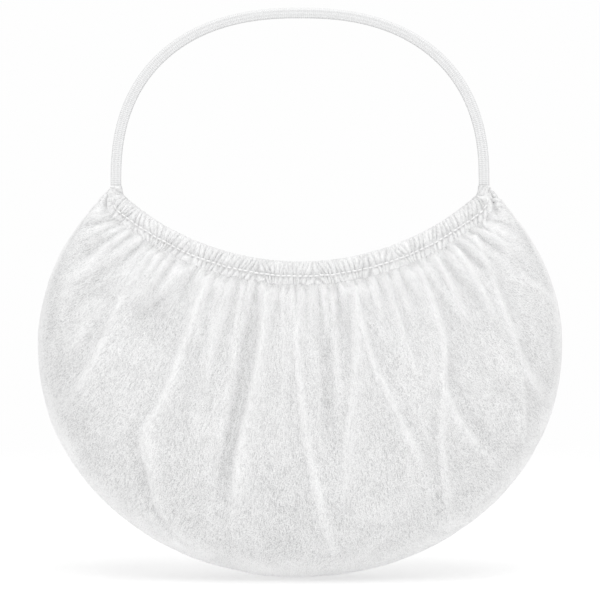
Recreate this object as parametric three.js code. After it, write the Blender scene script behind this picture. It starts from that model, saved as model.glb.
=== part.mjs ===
// Disposable beard net: a gathered pouch of thin non-woven cloth, hung on a flat elastic band.
// The band runs through the front hem and arches from corner to corner as the head loop.
// Units are millimetres, +Z is up, +X is the viewer's right and the front faces -Y.
// The origin is the inner side of the head loop's crown, the place where the net hangs.

import * as THREE from 'three';

// Cloth and fits
const cloth = 1; // wall of one layer of cloth
const gap = 0.3; // free space between neighbouring pieces

// Elastic band
const bandWidth = 4.24; // across its flat face
const bandThickness = 1.3; // through its flat face
const bandEdge = 0.6; // how far the rounded edges reach in from each side

// Head loop
const loopHalfSpan = 74.2; // from the middle to the centre-line of a leg
const loopRise = 72; // from the corner bends up to the crown's centre-line
const legStraight = 4.6; // straight foot of each leg above its corner bend
const loopSquareness = 2.35; // exponent of the loop's curve, where 2 is an ellipse

// Rim and hems
const cornerBend = 8; // radius at which the band turns out of a leg into the rim
const rimSag = 30.6; // from the corner bends down to the middle of the rim
const hemDepth = 9.4; // from the folded edge to the hem's raw edge
const mouthDepth = 46; // front to back between the two hems at the middle
const backDip = 7; // how much lower the back rim hangs at its middle
const tipRise = 2.4; // how far the front hem climbs each leg of the loop
const ruffleHeight = 0.9; // how far a ruffle stands out of the hem
const ruffleScallop = 0.35; // how far a ruffle lifts the folded edge
const ruffles = 38; // ruffles along each hem

// Pouch
const pouchWidth = 212; // across its widest level
const widestDrop = 62; // from the corner bends down to the widest level
const pouchDrop = 156; // from the corner bends down to the bottom
const pouchDepth = 82; // front to back at its fullest
const cornerWidth = 4.6; // width of the pouch where it starts at a corner
const cornerTurn = 15; // degrees of the corner bend that the pouch leaves free
const gatherHeight = 0.8; // how far the small gathers under a hem stand out
const gathers = 30; // small gathers under each hem
const pleatHeight = 4.4; // how far the main pleats stand out
const pleatWidth = 8.5; // half of a main pleat's width

// Section of the pouch: the fullest level as a share of the way from the rim to the fold,
// and the exponents with which it swells above that level and closes below it
const section = { fullest: 0.5, upperSwell: 2.2, lowerSwell: 2.8 };

// Exponents with which the depths and the folds grow from the corners to the middle
const fullness = { mouth: 1.25, pouch: 0.72, folds: 0.5 };

// How folds fade, as shares of a pleat's length or of a panel, and the exponent of a pleat's end
const fading = { pleatRise: 0.15, pleatEnd: 2.5, gatherReach: 0.09 };

// Main pleats of the front, one row each.
// rim and low: place along the rim and along the bottom fold, as shares from left to right.
// bow: sideways bend at mid length, as a share. from and to: reach from the rim to the fold.
// crest: share of pleatHeight, negative in a valley. width: share of pleatWidth.
const frontPleats = [
  { rim: 0.020, low: 0.066, bow: 0.000, from: 0.00, to: 0.88, crest: 0.30, width: 0.70 },
  { rim: 0.062, low: 0.118, bow: 0.004, from: 0.00, to: 0.72, crest: 0.45, width: 0.70 },
  { rim: 0.118, low: 0.149, bow: 0.002, from: 0.00, to: 0.52, crest: 0.45, width: 0.65 },
  { rim: 0.176, low: 0.230, bow: -0.012, from: 0.00, to: 0.97, crest: 1.00, width: 1.00 },
  { rim: 0.252, low: 0.216, bow: 0.000, from: 0.00, to: 0.40, crest: 0.55, width: 0.80 },
  { rim: 0.258, low: 0.262, bow: 0.000, from: 0.22, to: 0.60, crest: -0.50, width: 1.10 },
  { rim: 0.296, low: 0.352, bow: 0.004, from: 0.00, to: 0.94, crest: 0.90, width: 0.95 },
  { rim: 0.352, low: 0.370, bow: 0.000, from: 0.02, to: 0.50, crest: 0.45, width: 0.75 },
  { rim: 0.412, low: 0.422, bow: 0.002, from: 0.12, to: 0.92, crest: -0.75, width: 0.70 },
  { rim: 0.430, low: 0.436, bow: 0.004, from: 0.00, to: 0.88, crest: 0.85, width: 0.75 },
  { rim: 0.486, low: 0.541, bow: -0.004, from: 0.10, to: 0.98, crest: 0.85, width: 0.75 },
  { rim: 0.553, low: 0.532, bow: -0.006, from: 0.08, to: 0.84, crest: -0.70, width: 0.80 },
  { rim: 0.600, low: 0.545, bow: -0.006, from: 0.00, to: 0.76, crest: 0.70, width: 0.75 },
  { rim: 0.614, low: 0.642, bow: -0.010, from: 0.02, to: 0.78, crest: 0.75, width: 0.75 },
  { rim: 0.690, low: 0.672, bow: 0.000, from: 0.00, to: 0.46, crest: 0.50, width: 0.75 },
  { rim: 0.774, low: 0.642, bow: 0.000, from: 0.00, to: 0.97, crest: 0.75, width: 0.80 },
  { rim: 0.770, low: 0.712, bow: -0.026, from: 0.00, to: 0.93, crest: 0.65, width: 0.80 },
  { rim: 0.866, low: 0.800, bow: 0.000, from: 0.00, to: 0.56, crest: 0.50, width: 0.75 },
  { rim: 0.932, low: 0.782, bow: -0.020, from: 0.00, to: 0.97, crest: 0.95, width: 0.95 },
  { rim: 0.960, low: 0.880, bow: -0.008, from: 0.00, to: 0.95, crest: 0.45, width: 0.70 },
];

// Main pleats of the back, in the same columns
const backPleats = [
  { rim: 0.050, low: 0.100, bow: 0.000, from: 0.00, to: 0.80, crest: 0.40, width: 0.70 },
  { rim: 0.135, low: 0.190, bow: 0.006, from: 0.00, to: 0.94, crest: 0.85, width: 0.90 },
  { rim: 0.215, low: 0.250, bow: 0.000, from: 0.00, to: 0.50, crest: 0.50, width: 0.75 },
  { rim: 0.290, low: 0.318, bow: 0.008, from: 0.00, to: 0.92, crest: 0.90, width: 0.90 },
  { rim: 0.345, low: 0.352, bow: 0.000, from: 0.10, to: 0.80, crest: -0.65, width: 0.80 },
  { rim: 0.385, low: 0.400, bow: 0.000, from: 0.00, to: 0.85, crest: 0.75, width: 0.80 },
  { rim: 0.470, low: 0.466, bow: -0.006, from: 0.00, to: 0.95, crest: 0.85, width: 0.85 },
  { rim: 0.520, low: 0.524, bow: 0.000, from: 0.08, to: 0.70, crest: -0.60, width: 0.80 },
  { rim: 0.562, low: 0.575, bow: 0.006, from: 0.00, to: 0.88, crest: 0.80, width: 0.80 },
  { rim: 0.655, low: 0.630, bow: -0.006, from: 0.00, to: 0.94, crest: 0.85, width: 0.90 },
  { rim: 0.735, low: 0.715, bow: 0.000, from: 0.00, to: 0.55, crest: 0.50, width: 0.75 },
  { rim: 0.815, low: 0.770, bow: -0.008, from: 0.00, to: 0.92, crest: 0.90, width: 0.90 },
  { rim: 0.900, low: 0.862, bow: 0.000, from: 0.00, to: 0.85, crest: 0.55, width: 0.75 },
];

// Half of a hem's section, from its folded edge to its raw edge.
// drop: share of the hem's depth. half: share of its half-thickness. ruffle: share of a ruffle.
const hemSection = [
  { drop: 0.00, half: 0.35, ruffle: 0.2 },
  { drop: 0.12, half: 1.00, ruffle: 0.7 },
  { drop: 0.42, half: 1.00, ruffle: 1.0 },
  { drop: 0.70, half: 0.90, ruffle: 0.4 },
  { drop: 1.00, half: 0.60, ruffle: 0.8 },
];

// Fineness of the surfaces
const columns = 2 * gathers; // across the pouch, one for each crest and each valley of a gather
const panelRows = 11; // from a rim of the pouch to its fold
const loopSteps = 44;
const bendSteps = 4;
const rimSteps = 38;
const rowSpacing = 1.9; // exponent that sets the pouch's rows close to each other at its fold
const tracedSteps = 720; // points along an outline whose length is measured
const probe = { rim: 0.0005, across: 0.004, down: 0.02 }; // small steps that measure a direction

// Places worked out from the sizes
const crownHeight = bandWidth / 2;
const bendHeight = crownHeight - loopRise;
const bendCentre = loopHalfSpan - cornerBend;
const rimRadius = (rimSag ** 2 + bendCentre ** 2 - cornerBend ** 2) / (2 * (rimSag - cornerBend));
const rimCentre = bendHeight - rimSag + rimRadius;
const rimAngle = Math.asin(bendCentre / (rimRadius - cornerBend));
const bendLength = cornerBend * (Math.PI / 2 - rimAngle);
const rimLength = 2 * (bendLength + rimRadius * rimAngle);
const hemAbove = bandWidth / 2 + gap + cloth; // from the band's centre-line up to the folded edge
const hemBelow = hemDepth - hemAbove; // from the band's centre-line down to the raw edge
const tunnelHalf = { width: bandWidth / 2 + gap, thickness: bandThickness / 2 + gap };
const hemHalf = tunnelHalf.thickness + cloth;
const cornerHalf = hemHalf + ruffleHeight + gap / 2; // from the middle to a hem at the corners
const widestHeight = bendHeight - widestDrop;
const bottomHeight = bendHeight - pouchDrop;
const cornerShare = (cornerBend * THREE.MathUtils.degToRad(cornerTurn)) / rimLength;

const FRONT = -1;
const BACK = 1;

// Point of the rim's centre-line seen from the front, with the direction that points down the hem.
// The share runs from the left corner bend to the right one; outside 0 to 1 it climbs the legs.
function rimLine(share) {
  const side = share < 0.5 ? -1 : 1;
  const run = rimLength * (share < 0.5 ? share : 1 - share);
  if (run < 0) {
    return { x: side * loopHalfSpan, z: bendHeight - run, downX: side, downZ: 0 };
  }
  if (run < bendLength) {
    const turn = run / cornerBend;
    const downX = side * Math.cos(turn);
    const downZ = -Math.sin(turn);
    return {
      x: side * bendCentre + cornerBend * downX,
      z: bendHeight + cornerBend * downZ,
      downX,
      downZ,
    };
  }
  const angle = side * (rimAngle - (run - bendLength) / rimRadius);
  const downX = Math.sin(angle);
  const downZ = -Math.cos(angle);
  return { x: rimRadius * downX, z: rimCentre + rimRadius * downZ, downX, downZ };
}

// How far open the mouth is along the rim, from 0 at the corners to 1 at the middle
function openness(share) {
  return Math.sin(Math.PI * THREE.MathUtils.clamp(share, 0, 1));
}

// Half of the mouth's depth along the rim
function mouthHalf(share) {
  return cornerHalf + (mouthDepth / 2 - cornerHalf) * openness(share) ** fullness.mouth;
}

// How far the band leans back from the front hem, on the way up a leg to the crown
function legLean(height) {
  return cornerHalf * THREE.MathUtils.clamp((crownHeight - height) / loopRise, 0, 1);
}

// Point of a rim's centre-line in space, on the front or the back
function rimPoint(share, side) {
  const line = rimLine(share);
  const onLeg = share < 0 || share > 1;
  const depth = onLeg ? legLean(line.z) : mouthHalf(share);
  const dip = side === BACK ? backDip * openness(share) ** 2 : 0;
  return new THREE.Vector3(line.x, side * depth, line.z - dip);
}

// Point of a rim with its three directions: along it, down the hem, and out of the cloth
function rimFrame(share, side) {
  const line = rimLine(share);
  const along = rimPoint(share + probe.rim, side).sub(rimPoint(share - probe.rim, side)).normalize();
  const down = new THREE.Vector3(line.downX, 0, line.downZ);
  down.addScaledVector(along, -down.dot(along)).normalize();
  const out = new THREE.Vector3().crossVectors(along, down);
  if (out.y * side < 0) out.negate();
  return { point: rimPoint(share, side), down, out };
}

// Point beside a rim's centre-line: below it down the hem, and out of it through the cloth
function beside(frame, below, outward) {
  return frame.point.clone().addScaledVector(frame.down, below).addScaledVector(frame.out, outward);
}

// Mesh of triangles from a list of points and a list of corner numbers
function meshOf(name, points, corners, material) {
  const geometry = new THREE.BufferGeometry();
  geometry.setAttribute('position', new THREE.Float32BufferAttribute(points.flatMap((p) => p.toArray()), 3));
  geometry.setIndex(corners);
  geometry.computeVertexNormals();
  const mesh = new THREE.Mesh(geometry, material);
  mesh.name = name;
  return mesh;
}

// Adds the four-sided face a, b, c, d, seen counterclockwise from outside
function addFace(corners, a, b, c, d) {
  corners.push(a, b, c, a, c, d);
}

// Volume inside the faces, negative if they point inwards
function signedVolume(points, corners) {
  let volume = 0;
  for (let k = 0; k < corners.length; k += 3) {
    const [a, b, c] = [points[corners[k]], points[corners[k + 1]], points[corners[k + 2]]];
    volume += a.dot(new THREE.Vector3().crossVectors(b, c)) / 6;
  }
  return volume;
}

// Turns all the faces of a closed body outwards
function facingOut(points, corners) {
  if (signedVolume(points, corners) > 0) return corners;
  return corners.toReversed();
}

// Faces between rings of equal length, one after the other; a closed chain joins its ends
function ringFaces(rings, size, closed, inward, first) {
  const corners = [];
  const last = closed ? rings : rings - 1;
  for (let i = 0; i < last; i += 1) {
    for (let k = 0; k < size; k += 1) {
      const [a, b] = [first + i * size + k, first + i * size + ((k + 1) % size)];
      const next = (((i + 1) % rings) - i) * size;
      if (inward) addFace(corners, b, a, a + next, b + next);
      else addFace(corners, a, b, b + next, a + next);
    }
  }
  return corners;
}

// Band section: a flat face on each side and rounded edges
function bandSection() {
  const [half, flat] = [bandWidth / 2, bandWidth / 2 - bandEdge];
  const thick = bandThickness / 2;
  return [
    [-half, 0],
    [-flat, -thick],
    [flat, -thick],
    [half, 0],
    [flat, thick],
    [-flat, thick],
  ];
}

// Frames along the head loop from the top of the left leg's foot, over the crown, to the right leg
function loopFrames() {
  const start = bendHeight + legStraight;
  const rise = loopRise - legStraight;
  const spot = (turn) => {
    const [across, up] = [-Math.cos(turn), Math.sin(turn)];
    const x = Math.sign(across) * loopHalfSpan * Math.abs(across) ** (2 / loopSquareness);
    const z = start + rise * Math.abs(up) ** (2 / loopSquareness);
    return new THREE.Vector3(x, FRONT * legLean(z), z);
  };
  const traced = new THREE.CatmullRomCurve3(
    Array.from({ length: tracedSteps + 1 }, (_, k) => spot((Math.PI * k) / tracedSteps)),
  );
  traced.arcLengthDivisions = 4 * tracedSteps;
  const frames = [];
  for (let k = 0; k <= loopSteps; k += 1) {
    const share = k / loopSteps;
    const along = traced.getTangentAt(share);
    const out = new THREE.Vector3(0, FRONT, 0).addScaledVector(along, -FRONT * along.y).normalize();
    const down = new THREE.Vector3().crossVectors(out, along);
    frames.push({ point: traced.getPointAt(share), down, out });
  }
  return frames;
}

// Shares of the rim at which a bend or the run between the bends is drawn, from left to right
function rimShares() {
  const bend = bendLength / rimLength;
  const left = Array.from({ length: bendSteps }, (_, k) => (bend * k) / bendSteps);
  const middle = Array.from({ length: rimSteps + 1 }, (_, k) => bend + ((1 - 2 * bend) * k) / rimSteps);
  const right = left.map((share) => 1 - share).reverse();
  return [...left, ...middle, ...right];
}

// The elastic: one closed ring through the front hem and over the crown
function elasticBand(material) {
  const outline = bandSection();
  const frames = [
    ...loopFrames(),
    ...rimShares()
      .reverse()
      .map((share) => rimFrame(share, FRONT)),
  ];
  const points = frames.flatMap((frame) => outline.map(([b, o]) => beside(frame, b, o)));
  const corners = ringFaces(frames.length, outline.length, true, false, 0);
  return meshOf('elastic_band', points, facingOut(points, corners), material);
}

// The strip of the same elastic that gathers the back hem, which ends inside it at both corners
function backElastic(material) {
  const [half, thick] = [bandWidth / 2, bandThickness / 2];
  const outline = [
    [-half, -thick],
    [half, -thick],
    [half, thick],
    [-half, thick],
  ];
  const shares = rimShares().slice(1, -1);
  const points = shares.flatMap((share) => {
    const frame = rimFrame(share, BACK);
    return outline.map(([b, o]) => beside(frame, b, o));
  });
  const size = outline.length;
  const end = points.length - size;
  const corners = ringFaces(shares.length, size, false, false, 0);
  addFace(corners, 3, 2, 1, 0);
  addFace(corners, end, end + 1, end + 2, end + 3);
  return meshOf('back_elastic', points, facingOut(points, corners), material);
}

// Outline of a hem's section at one place, as steps down the hem and out of the cloth.
// A ruffle of 1 is a crest and -1 a valley. The raw edge draws in to the tunnel at a tip.
function hemOutline(ruffle, tip) {
  const lift = (ruffleHeight * (ruffle + 1)) / 2;
  const below = THREE.MathUtils.lerp(hemBelow, tunnelHalf.width + cloth, tip);
  const level = (row) => {
    const drop = THREE.MathUtils.lerp(-hemAbove, below, row.drop);
    return drop - ruffleScallop * (ruffle + 1) * 0.5 * (1 - row.drop) ** 4;
  };
  const half = (row) => hemHalf * row.half + lift * row.ruffle;
  const inside = hemSection.map((row) => [level(row), -half(row)]);
  const outside = hemSection.map((row) => [level(row), half(row)]).reverse();
  return [...inside, ...outside];
}

// The hem folded over the elastic: a tube of cloth with ruffles and a tunnel from end to end
function hem(name, side, tipLength, material) {
  const stations = 2 * ruffles;
  const [start, end] = [-tipLength / rimLength, 1 + tipLength / rimLength];
  const tunnel = [
    [-tunnelHalf.width, -tunnelHalf.thickness],
    [tunnelHalf.width, -tunnelHalf.thickness],
    [tunnelHalf.width, tunnelHalf.thickness],
    [-tunnelHalf.width, tunnelHalf.thickness],
  ];
  const outer = [];
  const inner = [];
  let outerShape = [];
  for (let i = 0; i <= stations; i += 1) {
    const share = THREE.MathUtils.lerp(start, end, i / stations);
    const frame = rimFrame(share, side);
    const fromEnd = rimLength * Math.min(share - start, end - share);
    const tip = Math.max(0, 1 - fromEnd / bendLength) ** 2;
    outerShape = hemOutline(i % 2 === 0 ? -1 : 1, tip);
    outer.push(...outerShape.map(([b, o]) => beside(frame, b, o)));
    inner.push(...tunnel.map(([b, o]) => beside(frame, b, o)));
  }
  const points = [...outer, ...inner];
  const [size, hole] = [outerShape.length, tunnel.length];
  const rings = stations + 1;
  const corners = [
    ...ringFaces(rings, size, false, false, 0),
    ...ringFaces(rings, hole, false, true, outer.length),
  ];
  const flat = (list) => list.map(([b, o]) => new THREE.Vector2(b, o));
  const cap = THREE.ShapeUtils.triangulateShape(flat(outerShape), [flat(tunnel)]);
  for (const [ring, turned] of [[0, false], [stations, true]]) {
    const number = (k) => (k < size ? ring * size + k : outer.length + ring * hole + (k - size));
    for (const [a, b, c] of cap) {
      const face = turned ? [a, b, c] : [c, b, a];
      corners.push(...face.map(number));
    }
  }
  return meshOf(name, points, facingOut(points, corners), material);
}

// Outline of the pouch from the front: the bottom fold from the left corner round to the right.
// It is a half ellipse below the widest level and a part of another above it.
function foldLine() {
  const start = rimLine(cornerShare);
  const reach = hemBelow + gap + cornerWidth;
  const corner = { x: start.x + start.downX * reach, z: start.z + start.downZ * reach };
  const half = pouchWidth / 2;
  const above = (corner.z - widestHeight) / Math.sqrt(1 - (corner.x / half) ** 2);
  const below = widestHeight - bottomHeight;
  const startTurn = Math.asin((corner.z - widestHeight) / above);
  const points = [];
  for (let k = 0; k <= tracedSteps; k += 1) {
    const turn = -startTurn + ((Math.PI + 2 * startTurn) * k) / tracedSteps;
    const height = Math.sin(turn) < 0 ? above : below;
    points.push(new THREE.Vector2(-half * Math.cos(turn), widestHeight - height * Math.sin(turn)));
  }
  const lengths = [0];
  for (let k = 1; k < points.length; k += 1) {
    lengths.push(lengths[k - 1] + points[k].distanceTo(points[k - 1]));
  }
  return { points, lengths, length: lengths[lengths.length - 1] };
}

const fold = foldLine();

// Point of the bottom fold at a share of its length
function foldPoint(share) {
  const run = THREE.MathUtils.clamp(share, 0, 1) * fold.length;
  let k = 1;
  while (k < fold.lengths.length - 1 && fold.lengths[k] < run) k += 1;
  const part = (run - fold.lengths[k - 1]) / (fold.lengths[k] - fold.lengths[k - 1]);
  return fold.points[k - 1].clone().lerp(fold.points[k], part);
}

// Height of the pleats at a place of a panel, from its rim (reach 0) to its fold (reach 1).
// A pleat is a rounded ridge that rises under the hem and dies away at its lower end.
function pleating(table, share, reach) {
  const panelWidth = THREE.MathUtils.lerp(rimLength, fold.length, reach);
  let height = 0;
  for (const row of table) {
    const along = (reach - row.from) / (row.to - row.from);
    if (along < 0 || along > 1) continue;
    const bend = row.bow * 4 * along * (1 - along);
    const middle = THREE.MathUtils.lerp(row.rim, row.low, along) + bend;
    const across = ((share - middle) * panelWidth) / (pleatWidth * row.width);
    const fade = Math.min(1, along / fading.pleatRise) * (1 - along ** fading.pleatEnd);
    height += pleatHeight * row.crest * fade * Math.exp(-(across ** 2));
  }
  return height;
}

// Height of the small gathers just under a hem
function gathering(share, reach) {
  return gatherHeight * Math.cos(2 * Math.PI * gathers * share) * Math.exp(-reach / fading.gatherReach);
}

// Half of the pouch's depth at a place of a panel, without its pleats.
// It swells from the mouth to the fullest level and closes round into the fold.
function pouchHalf(share, reach) {
  const rim = mouthHalf(THREE.MathUtils.lerp(cornerShare, 1 - cornerShare, share)) + cloth / 2;
  const full = cornerHalf + (pouchDepth / 2 - cornerHalf) * openness(share) ** fullness.pouch;
  const { fullest, upperSwell, lowerSwell } = section;
  if (reach < fullest) {
    return full - (full - rim) * ((fullest - reach) / fullest) ** upperSwell;
  }
  return full * Math.sqrt(1 - ((reach - fullest) / (1 - fullest)) ** lowerSwell);
}

// Point of the pouch's outer surface. The share runs from left to right.
// The turn runs from -1 at the front rim, through 0 at the fold, to 1 at the back rim.
function pouchPoint(share, turn) {
  const side = turn > 0 ? BACK : FRONT;
  const reach = 1 - Math.abs(turn) ** rowSpacing;
  const frame = rimFrame(THREE.MathUtils.lerp(cornerShare, 1 - cornerShare, share), side);
  const rim = beside(frame, hemBelow + gap, 0);
  const bottom = foldPoint(share);
  const table = side === FRONT ? frontPleats : backPleats;
  const folds = (pleating(table, share, reach) + gathering(share, reach)) * openness(share) ** fullness.folds;
  const depth = pouchHalf(share, reach) + folds;
  return new THREE.Vector3(
    THREE.MathUtils.lerp(rim.x, bottom.x, reach),
    side * depth,
    THREE.MathUtils.lerp(rim.z, bottom.y, reach),
  );
}

// Outward direction of the pouch's surface; at a rim it points straight forwards or back
function pouchOut(share, turn) {
  if (Math.abs(turn) === 1) return new THREE.Vector3(0, turn, 0);
  const across = pouchPoint(share + probe.across, turn).sub(pouchPoint(share - probe.across, turn));
  const down = pouchPoint(share, turn + probe.down).sub(pouchPoint(share, turn - probe.down));
  return new THREE.Vector3().crossVectors(down, across).normalize();
}

// The pouch: one wall of cloth, open at the mouth and closed by a small end wall at each corner
function pouch(material) {
  const rows = 2 * panelRows;
  const turns = Array.from({ length: rows + 1 }, (_, j) => Math.sin((Math.PI * (j / panelRows - 1)) / 2));
  turns[0] = -1;
  turns[panelRows] = 0;
  turns[rows] = 1;
  const outer = [];
  const inner = [];
  const endWall = (1.5 * cloth) / rimLength; // share that an end wall takes, with room for its slant
  for (let i = 0; i <= columns; i += 1) {
    const share = i / columns;
    const within = THREE.MathUtils.clamp(share, endWall, 1 - endWall);
    for (const turn of turns) {
      outer.push(pouchPoint(share, turn));
      inner.push(pouchPoint(within, turn).addScaledVector(pouchOut(within, turn), -cloth));
    }
  }
  const points = [...outer, ...inner];
  const size = rows + 1;
  const out = (i, j) => i * size + j;
  const inn = (i, j) => outer.length + i * size + j;
  const corners = [];
  for (let i = 0; i < columns; i += 1) {
    for (let j = 0; j < rows; j += 1) {
      addFace(corners, out(i, j), out(i, j + 1), out(i + 1, j + 1), out(i + 1, j));
      addFace(corners, inn(i, j), inn(i + 1, j), inn(i + 1, j + 1), inn(i, j + 1));
    }
    addFace(corners, out(i, 0), out(i + 1, 0), inn(i + 1, 0), inn(i, 0));
    addFace(corners, out(i, rows), inn(i, rows), inn(i + 1, rows), out(i + 1, rows));
  }
  const endWalls = [
    { place: out, i: 0, turned: false },
    { place: out, i: columns, turned: true },
    { place: inn, i: 0, turned: true },
    { place: inn, i: columns, turned: false },
  ];
  for (const { place, i, turned } of endWalls) {
    for (let j = 0; j < panelRows; j += 1) {
      const face = [place(i, j), place(i, rows - j), place(i, rows - j - 1), place(i, j + 1)];
      if (turned) face.reverse();
      if (j < panelRows - 1) addFace(corners, ...face);
      else corners.push(...face.filter((n, k) => face.indexOf(n) === k));
    }
  }
  addFace(corners, out(0, 0), inn(0, 0), inn(0, rows), out(0, rows));
  addFace(corners, out(columns, 0), out(columns, rows), inn(columns, rows), inn(columns, 0));
  return meshOf('pouch', points, facingOut(points, corners), material);
}

// Materials: white spunbond cloth and white knitted elastic
function nonWoven() {
  return new THREE.MeshStandardMaterial({ color: 0xf1f2f3, roughness: 0.85, metalness: 0 });
}

function knittedElastic() {
  return new THREE.MeshStandardMaterial({ color: 0xe9eaeb, roughness: 0.7, metalness: 0 });
}

const beardNet = new THREE.Group();
beardNet.add(
  pouch(nonWoven()),
  hem('front_hem', FRONT, tipRise, nonWoven()),
  hem('back_hem', BACK, 0, nonWoven()),
  elasticBand(knittedElastic()),
  backElastic(knittedElastic()),
);

export default beardNet;
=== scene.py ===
"""A disposable beard net: a gathered pouch of thin non-woven cloth that hangs on a flat elastic.

Everything is in metres, +Z is up, the front faces -Y, and the origin is the inner side of the
head loop's crown. A cloth surface is a function of two parameters, worked out as whole arrays:
one runs along the rim from left to right, the other down the cloth from the rim to the fold.
Places along and down the cloth are shares from 0 to 1, and each pattern's seed is fixed.
"""

import logging
import math
from dataclasses import dataclass
from enum import Enum
from typing import Optional, Sequence, Union

import bmesh
import bpy
import numpy as np
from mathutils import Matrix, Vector


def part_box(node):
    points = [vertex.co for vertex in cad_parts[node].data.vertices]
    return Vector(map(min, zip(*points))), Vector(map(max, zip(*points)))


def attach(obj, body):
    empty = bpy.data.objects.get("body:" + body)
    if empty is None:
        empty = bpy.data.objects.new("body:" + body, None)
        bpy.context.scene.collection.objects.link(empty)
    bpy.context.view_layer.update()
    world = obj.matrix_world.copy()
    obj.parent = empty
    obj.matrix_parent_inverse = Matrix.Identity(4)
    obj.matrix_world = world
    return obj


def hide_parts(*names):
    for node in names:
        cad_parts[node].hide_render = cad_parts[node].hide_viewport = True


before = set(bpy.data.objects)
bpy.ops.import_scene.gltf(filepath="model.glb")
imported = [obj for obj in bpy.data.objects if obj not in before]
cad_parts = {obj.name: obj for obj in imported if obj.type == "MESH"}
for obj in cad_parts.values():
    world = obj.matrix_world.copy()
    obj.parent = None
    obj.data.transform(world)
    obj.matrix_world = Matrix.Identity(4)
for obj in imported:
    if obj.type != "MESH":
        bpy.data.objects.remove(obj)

Array = np.ndarray
Socket = bpy.types.NodeSocket
Value = Union[float, Sequence[float], Socket]
Colour = tuple[float, float, float, float]
MM = 0.001
BELL_ENDS = 2.5
TURN_STEP = 0.0005
BODY = "root"
log = logging.getLogger("beard_net")


class Side(Enum):
    """The two panels of the net, by the direction along Y in which each faces."""

    FRONT = -1
    BACK = 1


class Steep(Enum):
    """The flank of a pleat that falls steeply, seen from the front."""

    LEFT = -1
    NEITHER = 0
    RIGHT = 1


class Slot(Enum):
    """Names of the record's material slots."""

    CLOTH = "nonwoven"
    ELASTIC = "elastic"


# Arrays and meshes


def smooth_step(value: Array) -> Array:
    """Eases a value from 0 to 1 with level ends: 3t^2 - 2t^3, held between 0 and 1.

    Args:
        value: any numbers.

    Returns:
        The eased numbers, of the same shape.
    """
    t = np.clip(value, 0.0, 1.0)
    return t * t * (3.0 - 2.0 * t)


def unit(vectors: Array) -> Array:
    """Scales vectors along the last axis to length 1."""
    return vectors / np.maximum(np.linalg.norm(vectors, axis=-1, keepdims=True), 1e-12)


def surface_normals(points: Array) -> Array:
    """Normals of a grid of points: the cross product of its two directions, of length 1.

    Args:
        points: grid of points, columns by rows by 3.

    Returns:
        Normals of the same shape.
    """
    across = np.gradient(points, axis=0)
    down = np.gradient(points, axis=1)
    return unit(np.cross(down, across))


def blurred(values: Array, columns: float, rows: float) -> Array:
    """A grid of values, softened by a bell curve along each of its directions.

    Args:
        values: grid of values.
        columns: reach of the curve in columns.
        rows: reach of the curve in rows.

    Returns:
        The softened grid.
    """
    for axis, reach in enumerate((columns, rows)):
        half = int(math.ceil(BELL_ENDS * reach))
        offsets = np.arange(-half, half + 1)
        weights = np.exp(-0.5 * (offsets / reach) ** 2)
        places = np.clip(np.arange(values.shape[axis])[:, None] + offsets, 0, values.shape[axis] - 1)
        taken = np.take(values, places, axis=axis)
        values = np.tensordot(taken, weights / weights.sum(), axes=([axis + 1], [0]))
    return values


def grid_faces(columns: int, rows: int, ring: bool, tube: bool) -> Array:
    """Corner numbers of the four-sided faces of a grid stored column after column.

    Args:
        columns: number of columns of points.
        rows: number of points in a column.
        ring: the last column joins the first.
        tube: the last row joins the first.

    Returns:
        One row of four corner numbers for each face.
    """
    i = np.arange(columns if ring else columns - 1)[:, None]
    j = np.arange(rows if tube else rows - 1)[None, :]
    i_next, j_next = (i + 1) % columns, (j + 1) % rows
    corners = [i * rows + j, i * rows + j_next, i_next * rows + j_next, i_next * rows + j]
    return np.stack([np.broadcast_to(c, corners[0].shape) for c in corners], axis=-1).reshape(-1, 4)


def mesh_object(
    name: str,
    points: Array,
    faces: Array,
    uv: Optional[Array] = None,
    masks: Optional[dict[str, Array]] = None,
) -> bpy.types.Object:
    """Makes a smooth mesh object, at the origin, from whole arrays.

    Args:
        name: name of the object.
        points: points in metres, any grid by 3.
        faces: corner numbers, four for each face.
        uv: place of each point on the cloth, in millimetres.
        masks: named values of each point that the materials read.

    Returns:
        The object, linked to the scene.
    """
    flat = points.reshape(-1, 3).astype(np.float32)
    mesh = bpy.data.meshes.new(name)
    mesh.vertices.add(len(flat))
    mesh.vertices.foreach_set("co", flat.ravel())
    size = faces.shape[1]
    mesh.loops.add(faces.size)
    mesh.loops.foreach_set("vertex_index", faces.ravel().astype(np.int32))
    mesh.polygons.add(len(faces))
    mesh.polygons.foreach_set("loop_start", np.arange(0, faces.size, size, dtype=np.int32))
    mesh.polygons.foreach_set("use_smooth", np.ones(len(faces), bool))
    if uv is not None:
        layer = mesh.uv_layers.new(name="cloth")
        layer.data.foreach_set("uv", uv.reshape(-1, 2)[faces.ravel()].astype(np.float32).ravel())
    for mask, values in (masks or {}).items():
        attribute = mesh.attributes.new(mask, "FLOAT", "POINT")
        attribute.data.foreach_set("value", values.astype(np.float32).ravel())
    mesh.update()
    mesh.validate()
    obj = bpy.data.objects.new(name, mesh)
    bpy.context.scene.collection.objects.link(obj)
    return obj


def weld(obj: bpy.types.Object, distance: float) -> None:
    """Joins the points of a piece that lie within a distance of each other.

    Args:
        obj: the piece.
        distance: greatest distance, in metres.
    """
    work = bmesh.new()
    work.from_mesh(obj.data)
    bmesh.ops.remove_doubles(work, verts=work.verts, dist=distance)
    work.to_mesh(obj.data)
    work.free()


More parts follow.
